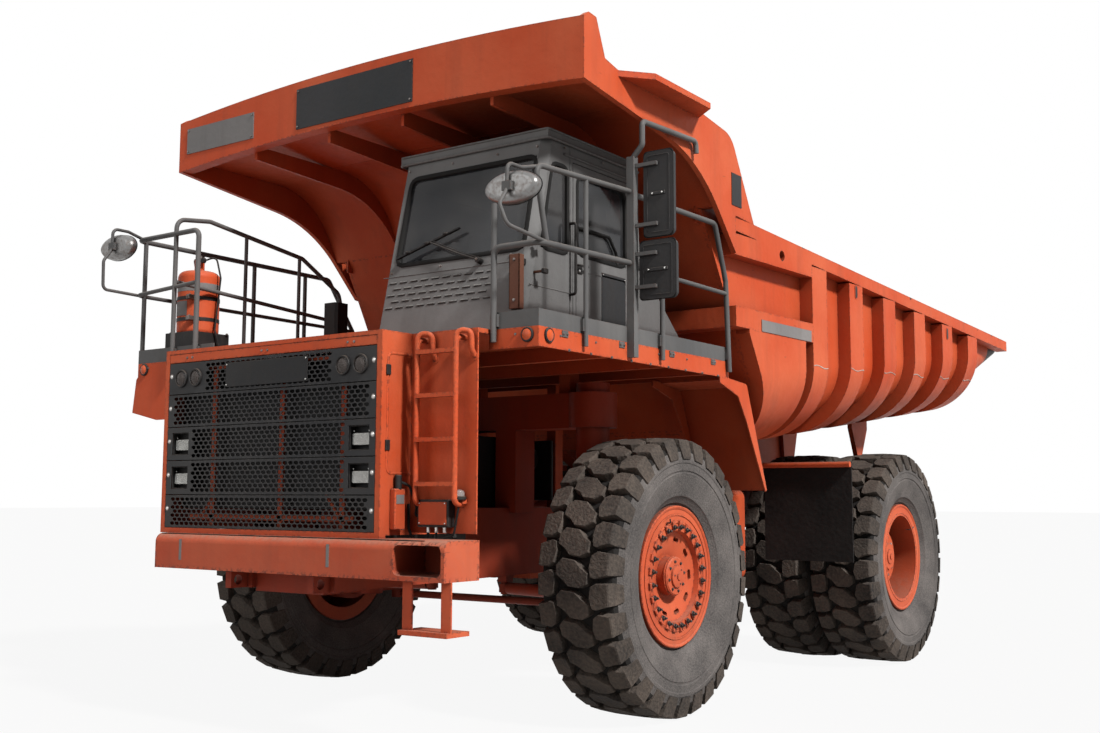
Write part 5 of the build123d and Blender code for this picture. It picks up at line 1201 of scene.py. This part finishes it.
def make_canopy_seams():
    """Gussets beside the canopy's webs, and weld seams across its top and along its lip."""
    build = Build("canopy_seams", orange, weld_orange)
    gusset = [(0.4, 3.86), (0.92, 3.86), (0.92, 4.16), (0.62, 4.16), (0.4, 4.02)]
    for hand in (1, -1):
        build.plate(gusset, lambda u, v, d: (hand * (1.955 + d), st(u), v), 0.016, 0.002, 0)
    seams = []
    for x in (-1.6, -0.8, 0.0, 0.8, 1.6):
        hits = [onto(pt(x, -1.4 + k * 0.16, far_z), down, *body_nodes) for k in range(12)]
        seams.append(([p + Vector((0, 0, 0.001)) for p in hits if p and 4.2 < p.z < 5.02], 0.006))
    for x0, x1 in ((-2.3, -0.1), (0.1, 2.3)):
        hits = [onto(pt(x0 + (x1 - x0) * k / 11, -2.2, 4.535), rearwards, *body_nodes) for k in range(12)]
        seams.append(([p for p in hits if p and p.y < st(-1.3)], 0.005))
    for points, radius in seams:
        if len(points) > 3:
            build.weld(points, radius, 1)
    build.object("dump_body")


make_body_trim()
make_canopy_seams()
recut("dump_tub", "tub_skin", "dump_body", (orange, load_steel, black_scuffs_and_shade), tub_part)
recut("dump_side_rails", "rail_skin", "dump_body", (orange, black_scuffs_and_shade),
      lambda c, normal: 1 if normal.z > 0.7 or c.y > st(7.18) else 0)
recut("dump_front_wall", "wall_skin", "dump_body", (orange, load_steel),
      lambda c, normal: 1 if normal.y > 0.3 and c.y > st(0.9) else 0)


# ---------- deck, rails, mirrors and bottle
deck_edge_z = 2.705
deck_half = 2.088
post_stations = (-1.6, -0.9, -0.2, 0.45)
pip_rows, pip_columns, pip_pitch_x, pip_pitch_y = 9, 26, 0.072, 0.075
bottle_x, bottle_y, bottle_r = -1.83, st(-1.5), 0.175
# centres of the two oval mirrors, and the boxes of the two flat ones as x and z pairs
oval_mirrors = (pt(2.075, -2.13, 3.6), pt(-2.075, -2.11, 3.7))
flat_mirrors = ((2.206, 2.447, 3.5, 4.12), (2.17, 2.465, 3.05, 3.47))


def make_deck_trim():
    """Marker lamps, edge and fender bolts, and the tread pips of the deck."""
    build = Build("deck_trim", orange, black_paint, old_steel, amber)
    # round amber markers in rubber cups under the deck's front corners
    cup = [(0.05, -0.01), (0.05, 0.01), (0.044, 0.016), (0.038, 0.014)]
    dome = [(0.04, 0.004), (0.039, 0.013), (0.03, 0.019), (0.012, 0.022), (0.002, 0.0225)]
    for hand in (1, -1):
        for centre, face in ((pt(2.00 * hand, -1.893, 2.695), ahead),
                             (pt(deck_half * hand, -1.783, 2.695), (hand, 0, 0))):
            out = Vector(face)
            hit = onto(Vector(centre) + out * 0.3, -out, "deck", "front_fenders")
            if hit is not None:
                build.turned(hit, out, cup, 32, 1, False)
                build.turned(hit, out, dome, 32, 3)
    # bolted flange along the deck's front and side edges
    for k in range(12):
        x = -1.95 + k * 0.35
        hit = onto(pt(x, -2.4, deck_edge_z), rearwards, "deck", "front_fenders", "engine_cowl")
        if not 0.3 < abs(x) < 0.6 and hit and st(-1.95) < hit.y < st(-1.85):
            build.bolt(hit, ahead, 0.007, 2)
    # rows of bolts along the deck's sides and the fender's arch:
    # count, first station, step, height, least x, size, nodes
    for count, first, step, z, least, size, nodes in (
            (6, -1.65, 0.42, deck_edge_z, 2.0, 0.007, ("deck", "front_fenders")),
            (9, -1.55, 0.26, 2.62, 1.9, 0.008, ("front_fenders", "deck"))):
        for hand in (1, -1):
            for k in range(count):
                hit = onto(pt(2.6 * hand, first + k * step, z), (-hand, 0, 0), *nodes)
                if hit and abs(hit.x) > least:
                    build.bolt(hit, (hand, 0, 0), size, 2)
    # punched tread pips over the open deck
    pip = [(0.014, 0), (0.011, 0.004), (0.005, 0.0045)]
    over_deck = ("deck", "guard_rails", "suppressant_tank", "engine_cowl", "mirrors")
    for row in range(pip_rows):
        for k in range(pip_columns):
            x = -1.98 + k * pip_pitch_x + (pip_pitch_x / 2 if row % 2 else 0)
            if x > -0.1:
                continue
            hit = onto(pt(x, -1.78 + row * pip_pitch_y, 3.9), down, *over_deck)
            if hit and hit.z < 2.755:
                build.turned(hit - Vector((0, 0, 0.0005)), up, pip, 8, 0)
    build.object("chassis")


def make_rail_feet():
    """Foot plates with bolts under every rail post."""
    build = Build("rail_feet", rail_gray, old_steel)
    thick = 0.006
    for hand in (1, -1):
        for station in post_stations:
            hit = onto(pt(hand * 2.6, station, 2.73), (-hand, 0, 0), "deck", "guard_rails")
            if hit is None:
                continue
            face = hit.x + hand * thick
            build.block((hit.x, hit.y - 0.035, 2.7), (face, hit.y + 0.035, 2.745), 0.0015, 0)
            build.bolts([(face, hit.y + s, 2.722) for s in (-0.022, 0.022)], (hand, 0, 0), 0.008, 1)
    build.object("chassis")


def make_bottle_trim():
    """Straps, label, valve, gauge and hoses of the fire bottle."""
    build = Build("bottle_trim", black_paint, old_steel, plate_gray)

    def by(x, y, z):
        """Point beside the bottle's axis."""
        return (bottle_x + x, bottle_y + y, z)

    inner = bottle_r - 0.002
    for z in (3.12, 3.3):
        build.cylinder(by(0, 0, z), by(0, 0, z + 0.032), bottle_r + 0.0035, 48, 0.001, 0, inner)
        build.block(by(0.1, -bottle_r - 0.035, z - 0.002), by(0.145, -bottle_r + 0.04, z + 0.034), 0.003, 1)
        build.bolt(by(0.122, -bottle_r - 0.012, z + 0.034), up, 0.008, 1)
    build.cylinder(by(0, 0, 3.375), by(0, 0, 3.445), bottle_r + 0.0015, 48, 0.0008, 2, inner)
    # blank label, as angles round the bottle and heights
    turns = [0.9 * k / 10 for k in range(11)]
    outline = [(-0.55 + a, 3.165) for a in turns] + [(0.35 - a, 3.29) for a in turns]
    skins = (bottle_r + 0.001, bottle_r + 0.003)
    build.rings([[by(r * sin(a), -r * cos(a), z) for a, z in outline] for r in skins], 2)
    # neck, valve, gauge and cap: start, end, radius, sides, edge, slot
    for start, end, radius, sides, edge, slot in (
            (by(0, 0, 3.64), by(0, 0, 3.675), 0.036, 20, 0.004, 1),
            (by(0, 0, 3.655), by(0.075, -0.02, 3.655), 0.014, 12, 0.003, 1),
            (by(0.075, -0.035, 3.655), by(0.075, -0.005, 3.655), 0.024, 20, 0.003, 0),
            (by(0, 0, 3.675), by(0, 0, 3.705), 0.02, 6, 0.003, 1)):
        build.cylinder(start, end, radius, sides, edge, slot)
    hose = [by(-0.02, 0, 3.665), by(-0.1, 0.02, 3.69), by(-0.17, 0.1, 3.6), by(-0.16, 0.14, 3.1),
            by(-0.1, 0.2, 2.8)]
    build.tube(hose, 0.009, 0.06, 8, 0)
    hose = [by(0.02, 0.02, 3.66), by(0.12, 0.08, 3.7), by(0.21, 0.06, 3.5), by(0.2, 0.02, 3.05),
            by(0.22, 0.1, 2.76)]
    build.tube(hose, 0.008, 0.07, 8, 0)
    feet = ((-1.98, -1.66), (-1.64, -1.66), (-1.64, -1.34))
    build.bolts([pt(x, station, 3.023) for x, station in feet], up, 0.01, 1)
    build.object("chassis")


def make_mirror_trim():
    """Rims, ribs, bolts and pale faces on the mirrors."""
    build = Build("mirror_trim", mirror_housing, zinc, chrome, seal_rubber)
    rim = oval(0.21, 0.105, 48)
    for x, y, z in oval_mirrors:
        flat = lambda u, v, d: (x + u, y + d, z + v)
        face = lambda u, v, d: flat(u, v, d + 0.0005)
        build.strip_round([(u * 0.985, v * 0.97) for u, v in rim], flat, 0.006, -0.003, 0.006, 3)
        build.plate([(u * 0.95, v * 0.92) for u, v in rim], face, 0.002, 0.0005, 2)
        for s in (-1, 1):
            for dx, dz, size, washer in ((s * 0.022, 0, 0.009, True), (0, s * 0.02, 0.006, False)):
                hit = onto((x + dx, y - 0.5, z + dz), rearwards, "mirrors")
                if hit:
                    build.bolt(hit, ahead, size, 1, washer)
    front, back = st(-0.787), st(-0.742)
    for x0, x1, z0, z1 in flat_mirrors:
        middle_x, middle_z = (x0 + x1) / 2, (z0 + z1) / 2
        inner = rounded_box(x0 + 0.03, x1 - 0.03, z0 + 0.03, z1 - 0.03, 0.02)
        on_rim = lambda u, v, d: (u + (0.004 if u < middle_x else -0.004), front + 0.004 - d, v)
        build.strip_round(rounded_box(x0, x1, z0, z1, 0.03), on_rim, 0.007, -0.006, 0.003, 3)
        build.strip_round(inner, lambda u, v, d: (u, front - d, v), 0.004, -0.001, 0.003, 0)
        build.block((x0 + 0.06, front - 0.01, middle_z - 0.012),
                    (x1 - 0.06, front + 0.002, middle_z + 0.012), 0.003, 0)
        screws = [(x, front - 0.01, middle_z) for x in (x0 + 0.08, x1 - 0.08)]
        build.bolts(screws, ahead, 0.007, 1, False)
        build.plate(inner, lambda u, v, d: (u, back + d + 0.0005, v), 0.0015, 0.0004, 2)
    build.object("chassis")


def mirror_part(c, normal):
    """Which finish a face of the mirrors takes: housing, bowl or arm."""
    if c.x > 2.15 and c.y > st(-0.9):
        return 0
    for x, y, z in oval_mirrors:
        inside = ((c.x - x) / 0.214) ** 2 + ((c.z - z) / 0.109) ** 2 < 1.0
        if inside and y - 0.08 < c.y < y + 0.004:
            return 1
    return 2


make_deck_trim()
make_rail_feet()
make_bottle_trim()
make_mirror_trim()
recut("suppressant_tank", "bottle_skin", "chassis", (orange, black_paint),
      lambda c, normal: 1 if c.z < 3.0 else 0)
recut("mirrors", "mirror_heads", "chassis", (mirror_housing, mirror_back, rail_gray), mirror_part)


# ---------- nose, bumper, ladder and engine bay
panel_y = st(-2.04)


def make_nose_trim():
    """Header bar over the grille, strips and rubbed edge of the bumper, and cowl panel lines."""
    build = Build("nose_trim", orange, black_paint, old_steel, plate_gray)
    y = grille_y
    reach = grille_half - 0.002
    build.block((-reach, y + 0.001, 2.651), (reach, y + 0.02, 2.716), 0.003, 0)
    build.bolts([(x, y + 0.001, 2.684) for x in (-0.05, 0.01, 0.81, 0.87, -0.82, -0.88)], ahead, 0.007, 2)
    for x in (-0.745, 0.774):
        front = onto((x, y - 1.0, 1.25), rearwards, "front_bumper").y
        strip = box_of(x - 0.014, x + 0.014, 1.185, 1.335)
        build.plate(strip, lambda u, v, d: (u, front - d, v), 0.001, 0.0004, 3)
    # rubbed front edge of the bumper's top
    rings = []
    for k in range(90):
        x = -1.62 + k * 0.036
        top = onto((x, y - 0.05, 3.0), down, "front_bumper")
        edge = onto((x, y - 1.0, 1.36), rearwards, "front_bumper")
        if top and edge and top.z > 1.37:
            deep = 0.008 + 0.045 * max(0.0, sin(k * 0.7) * sin(k * 0.23 + 1))
            section = ((0.012, -0.001), (0.012, 0.0012), (0.016 + deep, 0.0012), (0.018 + deep, -0.001))
            rings.append([(x, edge.y + back, top.z + lift) for back, lift in section])
    if len(rings) > 4:
        build.rings(rings, 1)
    # cowl side panels: pressed line and hinges
    outline = rounded_box(-2.27, -1.98, 1.8, 2.6, 0.05)
    for hand in (1, -1):
        side_x = onto(pt(hand * 1.6, -2.1, 2.2), (-hand, 0, 0), "engine_cowl").x
        flat = lambda u, v, d: pt(side_x + hand * d, u, v)
        build.strip_round(outline, flat, 0.009, -0.001, 0.0045, 0)
        for z in (1.95, 2.45):
            build.block(pt(side_x, -2.29, z), pt(side_x + hand * 0.012, -2.25, z + 0.07), 0.003, 1)
    build.object("chassis")


def make_ladder_trim():
    """Boxes, lamp, cables and label by the foot of the ladder, and hooks over its top."""
    build = Build("ladder_trim", black_paint, zinc, plate_gray, orange, seal_rubber, clear_lens)

    def off(x, out, z):
        """Point in front of the panel behind the ladder."""
        return (x, panel_y - out, z)

    lamp = (1.6, 0.045)
    build.block(off(1.26, 0.07, 1.45), off(1.53, 0.001, 1.63), 0.006, 0)
    build.block(off(1.275, 0.074, 1.465), off(1.515, 0.07, 1.615), 0.002, 3)
    screws = [off(x, 0.074, z) for x in (1.285, 1.505) for z in (1.475, 1.605)]
    build.bolts(screws, ahead, 0.005, 1, False)
    for x in (1.33, 1.4, 1.47):
        build.cylinder(off(x, 0.036, 1.452), off(x, 0.036, 1.415), 0.012, 12, 0.002, 1)
    build.turned(off(*lamp, 1.63), up, [(0.045, 0), (0.045, 0.018), (0.036, 0.022)], 28, 0)
    dome = [(0.034, 0), (0.034, 0.02), (0.028, 0.034), (0.01, 0.042)]
    build.turned(off(*lamp, 1.652), up, dome, 28, 5)
    build.block(off(1.57, 0.045, 1.6), off(1.63, 0.001, 1.632), 0.003, 3)
    loop = [off(1.33, 0.036, 1.425), off(1.33, 0.04, 1.34), off(1.22, 0.045, 1.33), off(1.16, 0.04, 1.44),
            off(1.14, 0.02, 1.6)]
    build.tube(loop, 0.009, 0.05, 8, 4)
    lead = [off(1.4, 0.036, 1.425), off(1.41, 0.05, 1.36), off(1.56, 0.05, 1.4), off(*lamp, 1.6)]
    build.tube(lead, 0.007, 0.05, 8, 4)
    # small box on the cowl's side, with its connector, cable and blank label
    x = onto(pt(1.6, -2.15, 1.58), (-1, 0, 0), "engine_cowl").x
    plug_x, plug_at = x + 0.028, -2.185
    build.block(pt(x - 0.001, -2.235, 1.43), pt(x + 0.05, -2.135, 1.7), 0.006, 3)
    build.block(pt(x + 0.05, -2.225, 1.6), pt(x + 0.053, -2.15, 1.66), 0.001, 2)
    build.cylinder(pt(plug_x, plug_at, 1.69), pt(plug_x, plug_at, 1.79), 0.024, 18, 0.004, 0)
    cable = [pt(plug_x, plug_at, 1.75), pt(x + 0.07, -2.12, 1.72), pt(x + 0.09, -2.07, 1.58),
             off(1.2, 0.02, 1.52), off(1.27, 0.03, 1.52)]
    build.tube(cable, 0.009, 0.04, 8, 4)
    # hooked tops of the ladder's rails, turned back down onto the panel
    top_z, foot_z, inward = 2.728, 2.56, 0.08
    for x in (1.265, 1.6):
        hook = [pt(x, -2.135, foot_z), pt(x, -2.135, top_z), off(x + inward, 0.035, top_z),
                off(x + inward, 0.03, 2.6), off(x + inward, -0.004, foot_z)]
        build.tube(hook, 0.0185, 0.055, 14, 3)
        build.cylinder(off(x + inward, 0.004, foot_z), off(x + inward, 0, foot_z), 0.028, 20, 0.001, 3)
    build.object("chassis")


def make_engine_dress():
    """Fan guard, air duct, belt wheels and pipes in the bay behind the cowl, and the air tank before a
    black plate of painted shade.
    """
    build = Build("engine_dress", black_paint, old_steel, rail_gray)
    duct_z, wheel_z = 2.3, 1.62
    for hand in (1, -1):

        def by(x, station, z):
            return pt(hand * x, station, z)

        build.block(by(0.6, -1.95, 1.3), by(0.64, -0.85, 2.45), 0.01, 0)
        guard = [(0.3, 0), (0.3, 0.05), (0.27, 0.06), (0.25, 0.02)]
        build.turned(by(0.645, -1.45, 1.95), (hand, 0, 0), guard, 48, 0, False)
        for k in range(5):
            build.block(by(0.64, -1.9 + k * 0.22, 1.34), by(0.66, -1.87 + k * 0.22, 2.42), 0.003, 2)
        build.cylinder(by(0.69, -1.75, duct_z), by(0.69, -1.00, duct_z), 0.075, 28, 0.006, 0)
        for k in range(9):
            station = -1.72 + k * 0.085
            build.cylinder(by(0.69, station, duct_z), by(0.69, station + 0.03, duct_z), 0.083, 28, 0.008, 0)
        pipe = [by(0.69, -1.34, 2.24), by(0.71, -1.34, 1.95), by(0.68, -1.3, 1.7), by(0.62, -1.28, 1.5)]
        build.tube(pipe, 0.035, 0.12, 14, 0)
        pipe = [by(0.62, -1.85, 1.4), by(0.71, -1.65, 1.48), by(0.7, -1.3, 1.45), by(0.62, -1.12, 1.52)]
        build.tube(pipe, 0.022, 0.1, 12, 1)
        for station, out, radius in ((-1.15, 0.73, 0.11), (-1.62, 0.72, 0.075)):
            build.cylinder(by(0.66, station, wheel_z), by(out, station, wheel_z), radius, 32, 0.01, 1)
    # air tank, and a black plate between the rails: painted shade where the view would pass through between
    # the rails
    build.block(pt(-0.47, 0.5, 1.62), pt(0.47, 0.53, 2.14), 0.006, 0)
    for x, half, radius, edge, slot in ((0, 0.34, 0.1, 0.03, 0), (-0.22, 0.02, 0.103, 0.002, 1),
                                        (0.22, 0.02, 0.103, 0.002, 1)):
        build.cylinder(pt(x - half, 0.42, 1.98), pt(x + half, 0.42, 1.98), radius, 36, edge, slot)
    build.object("chassis")


make_nose_trim()
make_ladder_trim()
make_engine_dress()
